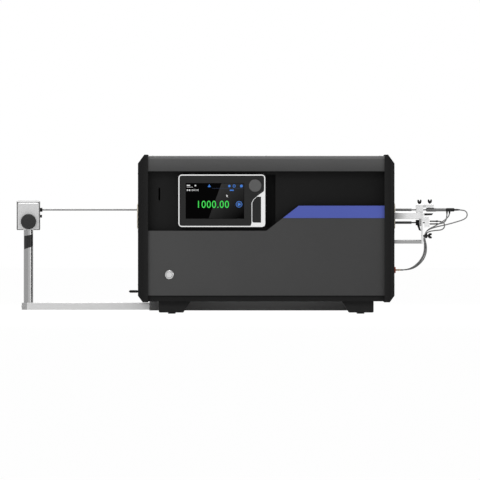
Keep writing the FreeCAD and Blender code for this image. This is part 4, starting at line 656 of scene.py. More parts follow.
DARK_GLASS = {"shine": 0.015, "Coat_Weight": 0.01, "Coat_Roughness": 0.03}


def textured_paint(name, shade, fade=None, shine=0.04, roughness=0.56):
    """A baked fine-texture paint, its shade changing slowly along the part where a fade is given, as
    painted light and shade.
    """
    return moulded(name, shade, mottle=0.12, grain=1500, roughness=roughness, spread=0.16, relief=0.35,
                   shine=shine, depth=0.06 * MM, fade=fade)


def drawn_sheath(name, shade, outward):
    """Drawn probe sheath, turned straw brown where it has been in the furnace."""
    return brushed(name, shade, mottle=0.2, stretch=(30, 900, 900), roughness=0.34, spread=0.16,
                   relief=0.1, metallic=0.9,
                   fade=(shade, settings("metals").heat_tint, outward, 0.3, 0.18))


# A fade is its first and last colour, its direction, and where on that line it begins and ends, in metres.


class FURNACE_OT_housing(bpy.types.Operator):
    """Finishes the caps, the cover, the front panels, the tray and the feet"""

    bl_idname = "furnace.housing"
    bl_label = "Housing"

    def execute(self, context):
        paints = settings("paints")
        # These four fades are painted light and shade: the caps darken towards their slanted outer sides,
        # and the front and recessed panels darken towards the right.
        for name, node, shade, last, start, end in (
            ("cap_paint", "left_end_cap", paints.cap, paints.cap_edge, -0.2965, -0.322),
            ("cap_paint_right", "right_end_cap", paints.cap, paints.cap_edge, 0.2965, 0.322),
            ("panel_paint", "front_panel", paints.panel, paints.panel_right, -0.2, 0.28),
            ("recess_paint", "recess_panel", paints.recess, paints.recess_right, -0.1, 0.25),
        ):
            dress(textured_paint(name, shade, (shade, last, RIGHT, start, end)), node)
        # The grip pocket takes the recess's paint, with its painted darkening to the right.
        dress(bpy.data.materials["recess_paint"], "grip_pocket")
        # Painted light: the cover's front is paler towards its upper edge.
        cover_painted_light = (paints.cover_low, paints.cover, UP, 0.357, 0.386)
        dress(textured_paint("cover_paint", paints.cover_low, cover_painted_light, shine=0.12, roughness=0.5),
              "top_cover")
        dress(textured_paint("rear_paint", paints.panel), "rear_panel")
        dress(textured_paint("tray_paint", paints.tray), "bottom_tray")
        # Painted light: the channel gets a paler grey than its own paint, against the shade it sits in.
        dress(textured_paint("channel_painted_light", paints.channel), "slide_channel")
        dress(moulded("strip_film", paints.strip, mottle=0.05, grain=2500, roughness=0.34, spread=0.08,
                      relief=0.08, shine=0.1, Coat_Weight=0.05), "colour_strip")
        dress(moulded("foot_moulding", paints.foot, mottle=0.15, grain=700, roughness=0.5, spread=0.2,
                      relief=0.3, shine=0.06), "feet")
        dress(moulded("pad_rubber", paints.rubber, mottle=0.25, grain=500, roughness=0.8, spread=0.1,
                      relief=0.4), "foot_pads")
        return {"FINISHED"}


class FURNACE_OT_inside(bpy.types.Operator):
    """Finishes the tube, the block, the heater, the insulation, the board and the fan"""

    bl_idname = "furnace.inside"
    bl_label = "Inside"

    def execute(self, context):
        metals = settings("metals")
        dress(moulded("fired_alumina", metals.ceramic, mottle=0.12, grain=420, roughness=0.62,
                      spread=0.2, relief=0.25), "furnace_tube", "left_port_ring", "right_port_ring")
        dress(moulded("scaled_nickel", metals.nickel, mottle=0.4, grain=260, roughness=0.5, spread=0.3,
                      relief=0.4, Metallic=0.8), "equalizing_block")
        dress(moulded("fibre_wool", metals.wool, mottle=0.15, grain=160, roughness=0.95, spread=0.1,
                      relief=0.9, depth=0.8 * MM), "insulation")
        dress(brushed("heater_winding", metals.element, mottle=0.5, stretch=(420, 20, 20),
                      roughness=0.6, spread=0.2, relief=0.9, metallic=0.5, depth=0.8 * MM), "heater")
        dress(moulded("solder_mask", metals.board, mottle=0.35, grain=380, roughness=0.35, spread=0.2,
                      relief=0.3, Coat_Weight=0.3), "control_board")
        dress(moulded("fan_moulding", settings("paints").rubber, mottle=0.15, grain=900, roughness=0.45,
                      spread=0.15, relief=0.15), "fan_frame", "fan_rotor", "mains_inlet")
        return {"FINISHED"}


class FURNACE_OT_display(bpy.types.Operator):
    """Finishes the display, its rim, the round button, the port cover and the push button"""

    bl_idname = "furnace.display"
    bl_label = "Display and buttons"

    def execute(self, context):
        paints, metals = settings("paints"), settings("metals")
        dress(moulded("display_moulding", paints.display, mottle=0.08, grain=1400, roughness=0.46,
                      spread=0.12, relief=0.18, shine=0.06), "display_housing", "port_cover")
        dress(brushed("plated_rim", metals.bright, mottle=0.05, stretch=(60, 60, 60), roughness=0.2,
                      spread=0.06, relief=0.03, metallic=0.85), "bright_rim")
        dress(moulded("button_moulding", paints.button, mottle=0.06, grain=1200, roughness=0.5,
                      spread=0.1, relief=0.15, shine=0.08), "home_button")
        dress(brushed("spun_bezel", metals.aluminium, mottle=0.06, stretch=(700, 40, 700),
                      roughness=0.24, spread=0.1, relief=0.06, metallic=0.9), "power_button_bezel",
              "power_button")
        dress(moulded("touch_glass", tone(1), mottle=0.1, grain=40, roughness=0.09, spread=0.04,
                      relief=0, **DARK_GLASS), "display_glass")
        dress(brushed("socket_shell", metals.steel, mottle=0.06, stretch=(90, 90, 900), roughness=0.3,
                      spread=0.12, relief=0.1, metallic=1.0), "port_sockets")
        return {"FINISHED"}


class FURNACE_OT_stand(bpy.types.Operator):
    """Finishes the rail, the post, the head with its knob, and the reference probe"""

    bl_idname = "furnace.stand"
    bl_label = "Probe stand"

    def execute(self, context):
        metals, paints = settings("metals"), settings("paints")
        dress(brushed("satin_rail", metals.aluminium, mottle=0.1, stretch=(6, 1400, 1400),
                      roughness=0.4, spread=0.16, relief=0.12, metallic=0.75), "base_rail")
        # Painted shade: the rail's end gets the darker aluminium where it turns away from the light.
        dress(brushed("sawn_end_in_shade", metals.aluminium_end, mottle=0.16, stretch=(900, 900, 20),
                      roughness=0.5, spread=0.2, relief=0.2, metallic=0.7), "rail_end")
        # Painted reflection: a sharp fade from the post's darker left part to its brighter right part.
        across = (metals.post_dark, metals.post, RIGHT, -0.5962, -0.5942)
        dress(brushed("polished_post", metals.post, mottle=0.05, stretch=(500, 500, 5), roughness=0.2,
                      spread=0.06, relief=0.03, metallic=0.9, fade=across), "post")
        dress(brushed("head_plate", metals.aluminium, mottle=0.05, stretch=(1000, 1000, 12),
                      roughness=0.42, spread=0.1, relief=0.06, metallic=0.6), "head_block")
        dress(moulded("knob_moulding", tone(52), mottle=0.12, grain=1100, roughness=0.48, spread=0.15,
                      relief=0.2, shine=0.14), "clamp_knob")
        dress(moulded("black_moulding", paints.knob, mottle=0.15, grain=1000, roughness=0.42,
                      spread=0.18, relief=0.2, shine=0.14), "probe_glands", "rail_catch")
        dress(moulded("grip_moulding", paints.knob, mottle=0.12, grain=1300, roughness=0.26, spread=0.1,
                      relief=0.1, shine=0.3, Coat_Weight=0.08), "post_grip")
        dress(drawn_sheath("stand_sheath", metals.stand_probe, LEFT), "reference_probe")
        return {"FINISHED"}


class FURNACE_OT_holder(bpy.types.Operator):
    """Finishes the holder's bars, clamps and levers, and the probes in it"""

    bl_idname = "furnace.holder"
    bl_label = "Probe holder"

    def execute(self, context):
        metals = settings("metals")
        dress(moulded("bead_blasted", metals.blasted, mottle=0.05, grain=1600, roughness=0.42,
                      spread=0.12, relief=0.2, Metallic=0.7), "holder_plate", "near_clamp", "far_clamp")
        # Painted shade: the bar fades from the darker aluminium at its root by the cap to bright further
        # out.
        along = (metals.aluminium_end, metals.bright, RIGHT, 0.318, 0.352)
        dress(brushed("bar_extrusion", metals.bright, mottle=0.06, stretch=(10, 900, 900),
                      roughness=0.34, spread=0.12, relief=0.08, metallic=0.75, fade=along),
              "holder_bar")
        dress(brushed("ground_rod", metals.rod, mottle=0.08, stretch=(40, 900, 900), roughness=0.2,
                      spread=0.1, relief=0.05, metallic=1.0), "holder_rod")
        dress(bpy.data.materials["black_moulding"], "upper_lever", "lower_lever", "upper_handle",
              "probe_collar")
        dress(drawn_sheath("upper_sheath", metals.upper_probe, RIGHT), "upper_probe")
        dress(drawn_sheath("lower_sheath", metals.lower_probe, RIGHT), "lower_probe")
        dress(brushed("terminal_plate", metals.bright, mottle=0.08, stretch=(20, 900, 900),
                      roughness=0.3, spread=0.1, relief=0.06, metallic=0.85), "lower_terminal")
        dress(moulded("plug_moulding", metals.plug, mottle=0.12, grain=900, roughness=0.5, spread=0.12,
                      relief=0.2), "lead_plug")
        dress(moulded("socket_moulding", metals.socket, mottle=0.14, grain=900, roughness=0.5,
                      spread=0.12, relief=0.2), "lead_socket")
        return {"FINISHED"}


# What the screen shows, and the painted reflection on its glass: outlines and places of (x, z) in
# millimetres.
WHITE_MARKS = (
    ((-198, 318.6), (-190, 318.6), (-190, 321.6), (-198, 321.6)),
    ((-198, 315.4), (-183, 315.4), (-183, 316.2), (-198, 316.2)),
    ((-178.4, 318), (-174.8, 318), (-174.8, 321.4), (-178.4, 321.4)),
    ((-198, 306.6), (-195, 306.6), (-195, 310.2), (-198, 310.2)),
    ((-193, 306.6), (-189.6, 306.6), (-189.6, 310.2), (-193, 310.2)),
    ((-99.6, 297.4), (-99.6, 291.2), (-97.9, 292.8), (-96.4, 290.2), (-95.4, 290.9), (-96.9, 293.4),
     (-94.8, 293.6)),
)
BLUE_TRIANGLE = ((-146, 316), (-138, 316), (-142, 323))
BLUE_ARROW = ((-70.4, 268.6), (-70.4, 277.4), (-62.8, 273))
BLUE_BAR = ((-91, 306.6), (-81, 306.6), (-81, 309.6), (-91, 309.6))
# centre, radius and number of corners of the full marks; centre, outer and inner radius of the rings
BLUE_DOTS = (((-92, 318.6), 3.4, 6), ((-62, 318.6), 3.6, 24))
BLUE_RINGS = (((-80, 318.6), 3.6, 2.2), ((-67.8, 273), 8.0, 6.9))
DIM_DISC = ((-67.8, 273), 7.4, 40)
DIM_LINE = ((-135, 312.6), (-58, 312.6), (-58, 313.1), (-135, 313.1))
# SHEEN is a painted reflection on the glass: a grey patch that fades to black across the screen.
SHEEN = ((-111.5, 325), (-56, 325), (-56, 238), (-143.5, 238))
NUMBER_SIDES, NUMBER_MIDDLE = (-170, -93), 273
NUMBER_OUT, NUMBER_THICK = 0.08 * MM, 0.05 * MM
LAYER = 0.04 * MM
RANGE_LOW, RANGE_HIGH, RANGE_TOP = (-187.5, 306.2), (-168.5, 310.6), "1000.00"
RING_STEPS = 40
BUTTON_GAP = 0.7 * MM


def on_screen(form, outline, layer):
    """A thin lit shape over the glass, higher by a layer where it lies on another."""
    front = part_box("display_glass")[0][1]
    add_plate(form, [in_metres(spot) for spot in outline], front - layer * LAYER, LAYER)


def screen_words(name, words, low, high, material, weight=0.0):
    """Plain numbers that fill the space between two corners (x, z) of the screen."""
    data = bpy.data.curves.new(name, "FONT")
    data.body = words
    data.extrude = 0.01
    data.offset = weight
    data.space_character = 1.12
    drawn = bpy.data.objects.new(name, data)
    bpy.context.scene.collection.objects.link(drawn)
    mesh = bpy.data.meshes.new_from_object(drawn.evaluated_get(bpy.context.evaluated_depsgraph_get()))
    bpy.data.objects.remove(drawn)
    bpy.data.curves.remove(data)
    spots = [vertex.co.copy() for vertex in mesh.vertices]
    least = Vector(min(spot[axis] for spot in spots) for axis in range(3))
    most = Vector(max(spot[axis] for spot in spots) for axis in range(3))
    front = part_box("display_glass")[0][1]
    for vertex, spot in zip(mesh.vertices, spots):
        share = [(spot[axis] - least[axis]) / (most[axis] - least[axis]) for axis in range(3)]
        across, up = (low[axis] + share[axis] * (high[axis] - low[axis]) for axis in range(2))
        vertex.co = (across * MM, front - NUMBER_OUT - NUMBER_THICK * share[2], up * MM)
    mesh.materials.clear()
    ride_along(bpy.data.objects.new(name, mesh), material, "furnace")


class FURNACE_OT_screen(bpy.types.Operator):
    """Lights the screen: the large number, small marks, and a painted reflection that fades across the
    glass
    """

    bl_idname = "furnace.screen"
    bl_label = "Screen content"

    def execute(self, context):
        screen = settings("screen")
        # Painted reflection: grey at the upper left of the patch, fading to black towards the lower right.
        painted_reflection = (tone(54), tone(1), (0.62, 0, -0.78), -0.322, -0.228)
        sheen = moulded("screen_sheen", tone(54), mottle=0.1, grain=60, roughness=0.12, spread=0.04,
                        relief=0, fade=painted_reflection, **DARK_GLASS)
        form = bmesh.new()
        on_screen(form, SHEEN, 1)
        make_piece("screen_sheen", form, sheen, "furnace")
        green = glowing("lit_green", screen.digits, strength=0.5)
        blue = glowing("lit_blue", screen.icons, strength=0.45)
        white = glowing("lit_white", screen.marks, strength=0.35)
        half = screen.digit_height / MM / 2
        low, high = ((side, NUMBER_MIDDLE + up) for side, up in zip(NUMBER_SIDES, (-half, half)))
        screen_words("screen_number", screen.reading, low, high, green, weight=0.001)
        screen_words("screen_range", RANGE_TOP, RANGE_LOW, RANGE_HIGH, white)
        form = bmesh.new()
        for outline in WHITE_MARKS:
            on_screen(form, outline, 2)
        make_piece("screen_marks", form, white, "furnace")
        form = bmesh.new()
        on_screen(form, BLUE_TRIANGLE, 2)
        on_screen(form, BLUE_ARROW, 4)
        on_screen(form, BLUE_BAR, 2)
        for dot in BLUE_DOTS:
            on_screen(form, ring_points(*dot), 2)
        for centre, outer, inner in BLUE_RINGS:
            rim, hole = (ring_points(centre, radius, RING_STEPS) for radius in (outer, inner))
            for step in range(RING_STEPS):
                after = (step + 1) % RING_STEPS
                on_screen(form, (rim[step], rim[after], hole[after], hole[step]), 3)
        make_piece("screen_icons", form, blue, "furnace")
        dim = glowing("lit_dim", tuple(share * 0.12 for share in screen.icons), strength=0.5)
        form = bmesh.new()
        on_screen(form, ring_points(*DIM_DISC), 2)
        on_screen(form, DIM_LINE, 2)
        make_piece("screen_ground", form, dim, "furnace")
        form = bmesh.new()
        button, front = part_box("home_button"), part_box("display_housing")[0][1]
        wire = BUTTON_GAP / 2
        centre = ((button[0][0] + button[1][0]) / 2, front, (button[0][2] + button[1][2]) / 2)
        add_hoop(form, (button[1][0] - button[0][0]) / 2 + wire, wire, centre, REAR, 64)
        make_piece("button_ring", form, black_steel(), "furnace")
        return {"FINISHED"}


# The black band on the rim's inner edge is painted shade: a thin dark plate where that edge is shaded.
SHADE_BAND_WIDTH, SHADE_BAND_THICK, SHADE_BAND_LET_IN = 1.6 * MM, 0.2 * MM, 0.02 * MM
# The x of the band's lower end, the z of its right end, and degrees between points of a corner.
SHADE_BAND_ENDS = (-39.5 * MM, 308 * MM)
CORNER_STEP = 10


def round_the_rim(gap):
    """Points (x, z) along the display's edge, a gap inside it, between the two ends of the black band."""
    low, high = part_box("bright_rim")
    turn = settings("fittings").rim_corner - gap
    left, right, foot, top = low[0] + gap, high[0] - gap, low[2] + gap, high[2] - gap
    points = [(SHADE_BAND_ENDS[0], foot)]
    for x, z, start in ((left + turn, foot + turn, 270), (left + turn, top - turn, 180),
                        (right - turn, top - turn, 90)):
        for angle in (math.radians(start - CORNER_STEP * step) for step in range(90 // CORNER_STEP + 1)):
            points.append((x + turn * math.cos(angle), z + turn * math.sin(angle)))
    return points + [(right, SHADE_BAND_ENDS[1])]


class FURNACE_OT_rim_gasket(bpy.types.Operator):
    """Adds the black band that lies on the inner edge of the bright rim, up to its wide corner: painted
    shade along that edge
    """

    bl_idname = "furnace.rim_gasket"
    bl_label = "Rim gasket"

    def execute(self, context):
        shown = settings("fittings").rim_shown
        outline = round_the_rim(shown) + list(reversed(round_the_rim(shown + SHADE_BAND_WIDTH)))
        form = bmesh.new()
        add_plate(form, outline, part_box("bright_rim")[0][1] + SHADE_BAND_LET_IN, SHADE_BAND_THICK)
        make_piece("rim_shade_band", form, "pad_rubber", "furnace")
        return {"FINISHED"}


# Where the screws stand: (y, z) on the caps and the rail's end, (x, y) on the cover and the head, and
# (x, z) on the rear wall. The screws of the caps and the cover keep only a share of their rise.
CAP_SCREW_ROWS = [(y * MM, z * MM) for y in (-112, 112) for z in (72, 205, 350)]
COVER_SCREW_ROWS = [(x * MM, y * MM) for x in (-283, 0, 283) for y in (-118, 118)]
REAR_SCREW_ROWS = [(x * MM, z * MM) for x in (-281, 0, 281) for z in (58, 362)]
REAR_SCREW_ROWS += [(-281 * MM, 210 * MM), (281 * MM, 210 * MM)]
HEAD_SCREW_ROWS = [(x * MM, y * MM) for x in (-614, -576) for y in (-18, 18)]
RAIL_SCREW_ROWS = [(-10 * MM, 18.2 * MM), (10 * MM, 18.2 * MM)]
FLUSH_SHARE = 0.3


class FURNACE_OT_fasteners(bpy.types.Operator):
    """Adds the screws of the caps, the cover and the rail's end"""

    bl_idname = "furnace.fasteners"
    bl_label = "Fasteners"

    def execute(self, context):
        sizes = settings("fittings")
        head, rise = sizes.screw_head, sizes.screw_rise
        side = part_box("right_end_cap")[1][0]
        for name, x, facing in (("left_cap_screws", -side, LEFT), ("right_cap_screws", side, RIGHT)):
            add_screws(name, [(x, y, z) for y, z in CAP_SCREW_ROWS], facing, head, rise * FLUSH_SHARE,
                       "furnace", black_steel())
        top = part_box("top_cover")[1][2]
        add_screws("cover_screws", [(x, y, top) for x, y in COVER_SCREW_ROWS], UP, head, rise * FLUSH_SHARE,
                   "furnace", black_steel())
        steel = settings("metals").steel
        bright = brushed("bright_screw", steel, mottle=0.06, stretch=(300, 300, 300), roughness=0.26,
                         spread=0.1, relief=0.05, metallic=1.0)
        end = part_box("rail_end")[0][0]
        add_screws("rail_end_screws", [(end, y, z) for y, z in RAIL_SCREW_ROWS], LEFT, head, rise, "stand",
                   bright)
        return {"FINISHED"}


# Half of a pair of wings, as (x, z) in millimetres, and the spread and height that it is drawn for. The
# side screw's wings have their own spread, height and thickness, and stand out past its collar.
WING_EDGE = [(1.7, 0), (2.6, 1.8), (4.9, 3.8), (5.2, 5.6), (5.2, 9.4), (4.8, 10.6), (3.6, 11.1),
             (1.9, 10.9), (1.3, 10.0), (1.2, 7.6), (0.8, 6.6)]
WING_SPREAD, WING_TALL = 10.4, 11.1
SIDE_WINGS = (13.4 * MM, 10.8 * MM, 3.2 * MM)
SIDE_WINGS_OUT = 11.2 * MM
WING_LET_IN, WING_ROUND = 2.2 * MM, 0.5 * MM
RIDGES, RIDGE_DEPTH = 24, 0.04


def knurled_ring(angle):
    """A knurled edge."""
    return 1.0 - RIDGE_DEPTH * (1 + math.cos(RIDGES * angle))


# Rings of a turned body are (radius, height, outline), in millimetres.
HUB_RINGS = [(2.7, 0, round_ring), (2.7, 1.2, round_ring), (2.3, 4.6, round_ring), (1.6, 5.4, round_ring)]
COLLAR_RINGS = [(2.2, 0, round_ring), (2.2, 5.0, round_ring), (5.6, 5.2, knurled_ring),
                (5.9, 5.8, knurled_ring), (5.9, 9.8, knurled_ring), (5.5, 10.4, knurled_ring),
                (2.4, 10.6, round_ring), (2.2, 15, round_ring)]


def add_wings(form, at, facing, spread, tall, thick):
    """Adds two rounded wings that stand on a point, in the plane that the front view shows."""
    place = to_line(at, facing)
    sides = []
    for y in (-thick / 2, thick / 2):
        edge = [(x * spread / WING_SPREAD, y, z * tall / WING_TALL) for x, z in WING_EDGE]
        edge += [(-x, y, z) for x, y, z in reversed(edge)]
        sides.append([form.verts.new(place @ Vector(spot)) for spot in edge])
    close_off(form, sides)
    soften(form, WING_ROUND)


class FURNACE_OT_wing_screws(bpy.types.Operator):
    """Adds the three wing screws with rounded wings, the side one on a knurled collar"""

    bl_idname = "furnace.wing_screws"
    bl_label = "Wing screws"

    def execute(self, context):
        for node in ("near_wing_screw", "far_wing_screw", "side_wing_screw"):
            low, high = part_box(node)
            middle = (low[1] + high[1]) / 2
            form = bmesh.new()
            if node == "side_wing_screw":
                height = settings("fittings").side_screw_height
                foot, facing, rings = (low[0], middle, height), RIGHT, COLLAR_RINGS
                add_wings(form, (low[0] + SIDE_WINGS_OUT, middle, height), facing, *SIDE_WINGS)
            else:
                foot, facing, rings = ((low[0] + high[0]) / 2, middle, low[2]), UP, HUB_RINGS
                wide, deep, tall = (high[axis] - low[axis] for axis in range(3))
                add_wings(form, foot, facing, wide, tall, deep - WING_LET_IN)
            add_turned(form, rings, foot, facing, 96)
            screw = make_piece(node + "_wings", form, "black_moulding", node)
            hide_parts(node)
        return {"FINISHED"}


def corner_points(corners, low, high):
    """Outline points from (end, x, end, z): millimetres from the low (0) or the high (1) side of a box."""
    ends = (low, high)
    return [(ends[across][0] + x * MM, ends[up][2] + z * MM) for across, x, up, z in corners]


LEVER_CORNERS = ((0, -1.1, 1, -5.2), (0, 10, 1, -4.8), (1, -2.4, 1, -2.4), (1, 0, 1, -0.4), (1, -0.4, 1, 0),
                 (0, -1.1, 1, 0))
GRIP_CORNERS = ((0, 0, 0, 1.7), (0, 2.8, 0, -0.5), (1, -6, 0, -0.5), (1, -6, 1, 0.5), (0, 2.8, 1, 0.5),
                (0, 0, 1, -1.7))
LEVER_LAP, LEVER_DEEP, LEVER_ROUND = 0.2 * MM, 1.4 * MM, 0.3 * MM
GRIP_PROUD, GRIP_ROUND = 0.1 * MM, 0.6 * MM


class FURNACE_OT_lever_cheek(bpy.types.Operator):
    """Adds the front cheek of the upper lever, which laps over the bar's end"""

    bl_idname = "furnace.lever_cheek"
    bl_label = "Lever cheek"

    def execute(self, context):
        form = bmesh.new()
        bar_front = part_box("holder_bar")[0][1]
        outline = corner_points(LEVER_CORNERS, *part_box("upper_lever"))
        add_plate(form, outline, bar_front - LEVER_LAP, LEVER_DEEP)
        soften(form, LEVER_ROUND)
        make_piece("lever_cheek", form, "black_moulding", "upper_lever")
        return {"FINISHED"}


class FURNACE_OT_catch_grip(bpy.types.Operator):
    """Adds the moulded grip on the arm of the rail catch"""

    bl_idname = "furnace.catch_grip"
    bl_label = "Catch grip"

    def execute(self, context):
        low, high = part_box("rail_catch")
        form = bmesh.new()
        rear, deep = high[1] + GRIP_PROUD, high[1] - low[1] + 2 * GRIP_PROUD
        add_plate(form, corner_points(GRIP_CORNERS, low, high), rear, deep)
        soften(form, GRIP_ROUND)
        make_piece("catch_grip", form, "black_moulding", "rail_catch")
        return {"FINISHED"}


# The fan guard's hoops in millimetres, its wire, how far it stands off the wall, and its four spokes,
# which start inside the first hoop and lie about an eighth of a turn off the upright.
GUARD_RINGS = (9, 16, 23, 30, 37)
GUARD_WIRE, GUARD_OFF = 0.75 * MM, 1.4 * MM
SPOKES, SPOKE_START, SPOKE_TURN = 4, 8 * MM, 0.785
GUARD_SCREWS = (-35.8 * MM, 35.8 * MM)
STUD_PLACE = (-165 * MM, 90 * MM)
STUD_PARTS = ((6, -0.2, 1.0, round_ring), (4.6, 1.0, 3.6, hex_ring), (2.1, 3.6, 5.4, round_ring))


class FURNACE_OT_rear_fittings(bpy.types.Operator):
    """Adds the fan's wire guard, the earth stud and the rear screws"""

    bl_idname = "furnace.rear_fittings"
    bl_label = "Rear fittings"

    def execute(self, context):
        sizes = settings("fittings")
        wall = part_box("rear_panel")[1][1]
        low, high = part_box("fan_frame")
        hub = Vector(((low[0] + high[0]) / 2, wall + GUARD_OFF, (low[2] + high[2]) / 2))
        form = bmesh.new()
        for radius in GUARD_RINGS:
            add_hoop(form, radius * MM, GUARD_WIRE, hub, REAR, 56)
        spoke = [(GUARD_WIRE / MM, long, round_ring) for long in (0, GUARD_RINGS[-1] + 2)]
        for turn in range(SPOKES):
            angle = math.tau * turn / SPOKES + SPOKE_TURN
            across = Vector((math.cos(angle), 0, math.sin(angle)))
            start = hub + across * SPOKE_START + Vector((0, GUARD_WIRE * 1.6, 0))
            add_turned(form, spoke, start, across, 8)
        make_piece("fan_guard", form, "bright_screw", "furnace")
        guard_rows = [(hub[0] + x, hub[2] + z) for x in GUARD_SCREWS for z in GUARD_SCREWS]
        places = [(x, wall, z) for x, z in guard_rows + REAR_SCREW_ROWS]
        add_screws("rear_screws", places, REAR, sizes.screw_head, sizes.screw_rise, "furnace",
                   black_steel())
        form = bmesh.new()
        for radius, start, end, outline in STUD_PARTS:
            add_turned(form, [(radius, start, outline), (radius, end, outline)],
                       (STUD_PLACE[0], wall, STUD_PLACE[1]), REAR, 36)
        make_piece("earth_stud", form, "bright_screw", "furnace")
        return {"FINISHED"}


# The lid's upper corners stand LID_RISE over the head.
LID_CORNERS = ((0, 1.6, 1, 0), (1, -1.6, 1, 0), (1, -3.4, 1, 4), (0, 3.4, 1, 4))
LID_RISE, LID_INSET = 4 * MM, 2 * MM
SET_SCREW_WIDE, SET_SCREW_HIGH = 0.8, 0.5
CHEEK_PROUD, CHEEK_THICK, CHEEK_BEND = 0.05 * MM, 1.9 * MM, 2.6 * MM
DISC_RINGS = [(12.6, -0.3, round_ring), (12.6, 0.15, round_ring), (12.2, 0.3, round_ring),
              (4, 0.3, round_ring)]


def cheek_outline(side, wall, inner, foot, top):
    """The folded cheek at one side of the head: down its wall, round the bend and in to the post."""
    out = wall + side * CHEEK_PROUD
    foot -= CHEEK_PROUD
    turn = [(out - side * CHEEK_BEND * (1 - math.cos(angle)), foot + CHEEK_BEND * (1 - math.sin(angle)))
            for angle in (math.radians(15 * step) for step in range(7))]
    web, rise = side * CHEEK_THICK, foot + CHEEK_THICK
    return [(out, top), *turn, (inner + side * MM, foot), (inner + side * MM, rise),
            (out - web * 1.6, rise), (out - web, foot + CHEEK_THICK * 1.6), (out - web, top)]


class FURNACE_OT_head_fittings(bpy.types.Operator):
    """Adds the head's lid, its folded cheeks, darker as a painted reflection, its set screws, and the
    inlaid disc of its knob
    """

    bl_idname = "furnace.head_fittings"
    bl_label = "Head fittings"

    def execute(self, context):
        sizes = settings("fittings")
        low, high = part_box("head_block")
        form = bmesh.new()
        rear, deep = high[1] - LID_INSET, high[1] - low[1] - 2 * LID_INSET
        add_plate(form, corner_points(LID_CORNERS, low, high), rear, deep)
        make_piece("head_lid", form, "plated_rim", "head")
        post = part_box("post")
        form = bmesh.new()
        for side, wall, inner in ((-1, low[0], post[0][0]), (1, high[0], post[1][0])):
            outline = cheek_outline(side, wall, inner, low[2], high[2] + LID_RISE * 0.4)
            add_plate(form, outline, high[1] + CHEEK_PROUD, high[1] - low[1] + 2 * CHEEK_PROUD)
        # Painted reflection: the cheeks are a darker grey than the head, for the dark surroundings
        # reflected along its sides.
        grey = settings("metals").cheek
        folded = brushed("cheek_painted_reflection", grey, mottle=0.08, stretch=(12, 12, 900), roughness=0.42,
                         spread=0.1, relief=0.06, metallic=0.5)
        make_piece("head_cheeks", form, folded, "head")
        places = [(x, y, high[2] + LID_RISE) for x, y in HEAD_SCREW_ROWS]
        add_screws("head_screws", places, UP, sizes.screw_head * SET_SCREW_WIDE,
                   sizes.screw_rise * SET_SCREW_HIGH, "head", "bright_screw")
        low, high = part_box("clamp_knob")
        form = bmesh.new()
        add_turned(form, DISC_RINGS, ((low[0] + high[0]) / 2, low[1], (low[2] + high[2]) / 2), FRONT, 64)
        make_piece("knob_disc", form, "knob_moulding", "clamp_knob")
        return {"FINISHED"}


def flat_ring(angle):
    """A rectangle half as tall as it is wide, for a sleeve that is shrunk on a flat lug."""
    return 1 / max(2 * abs(math.cos(angle)), abs(math.sin(angle)))


# place, direction, length and extra radius of the tapered sleeves, in millimetres
SLEEVES = (
    ((472, 0, 259.6), RIGHT, 13, 0.9), ((459.1, 0, 255.4), DOWN, 6, 0.7), ((452.7, 0, 255.4), DOWN, 6, 0.7),
    ((335.9, -3.6, 109), RIGHT, 7, 0.2), ((335.9, 0, 109), RIGHT, 7, 0.2),
    ((335.9, 3.6, 109), RIGHT, 7, 0.2),
)
LUG_PLACES = ((409.2, 3, 231), (409.2, -3, 224.2))
LUG_RINGS = [(3.2, 0, flat_ring), (3.3, 0.5, flat_ring), (3.3, 15, flat_ring), (2.3, 17.5, round_ring),
             (1.9, 21, round_ring), (1.4, 21.6, round_ring)]


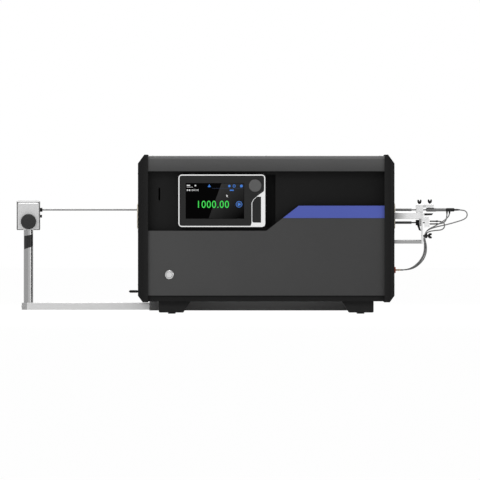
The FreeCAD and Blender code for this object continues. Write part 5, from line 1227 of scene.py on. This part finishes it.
class FURNACE_OT_lead_sleeves(bpy.types.Operator):
    """Adds the rubber sleeves where the leads leave the probes, the lugs and the plug"""

    bl_idname = "furnace.lead_sleeves"
    bl_label = "Lead sleeves"

    def execute(self, context):
        lead = settings("fittings").lead_thickness / 2 / MM
        form = bmesh.new()
        for at, facing, long, spare in SLEEVES:
            rings = [(lead + spare, 0, round_ring), (lead + spare, long * 0.4, round_ring),
                     (lead + 0.15, long - 0.6, round_ring), (lead - 0.1, long, round_ring)]
            add_turned(form, rings, in_metres(at), facing, 24)
        for at in LUG_PLACES:
            add_turned(form, LUG_RINGS, in_metres(at), RIGHT, 48)
        make_piece("lead_sleeves", form, "pad_rubber", "furnace")
        return {"FINISHED"}


class FURNACE_PT_panel(bpy.types.Panel):
    """Lists the furnace's finishes, sizes and operators"""

    bl_idname = "FURNACE_PT_panel"
    bl_label = "Calibration furnace"
    bl_space_type = "VIEW_3D"
    bl_region_type = "UI"
    bl_category = "Furnace"

    def draw(self, context):
        layout = self.layout
        for name, group in SETTING_GROUPS.items():
            box = layout.box()
            box.label(text=name.capitalize())
            for key in group.bl_rna.properties.keys():
                if key not in ("rna_type", "name"):
                    box.prop(settings(name), key)
        for operator in OPERATORS:
            layout.operator(operator.bl_idname)


SETTING_GROUPS = {
    "paints": FurnacePaints, "metals": FurnaceMetals, "screen": FurnaceScreen, "fittings": FurnaceFittings,
}
OPERATORS = (
    FURNACE_OT_camera, FURNACE_OT_leads, FURNACE_OT_stage, FURNACE_OT_housing, FURNACE_OT_inside,
    FURNACE_OT_display, FURNACE_OT_stand, FURNACE_OT_holder, FURNACE_OT_screen, FURNACE_OT_rim_gasket,
    FURNACE_OT_fasteners, FURNACE_OT_wing_screws, FURNACE_OT_lever_cheek, FURNACE_OT_catch_grip,
    FURNACE_OT_rear_fittings, FURNACE_OT_head_fittings, FURNACE_OT_lead_sleeves,
)
CLASSES = (*SETTING_GROUPS.values(), *OPERATORS, FURNACE_PT_panel)


def register():
    for kind in CLASSES:
        bpy.utils.register_class(kind)
    for name, group in SETTING_GROUPS.items():
        setattr(bpy.types.Scene, "furnace_" + name, PointerProperty(type=group))


def unregister():
    for name in SETTING_GROUPS:
        delattr(bpy.types.Scene, "furnace_" + name)
    for kind in reversed(CLASSES):
        bpy.utils.unregister_class(kind)


def main():
    register()
    bpy.context.scene.view_settings.view_transform = "Standard"
    for operator in OPERATORS:
        family, name = operator.bl_idname.split(".")
        getattr(getattr(bpy.ops, family), name)()


if __name__ == "__main__":
    main()
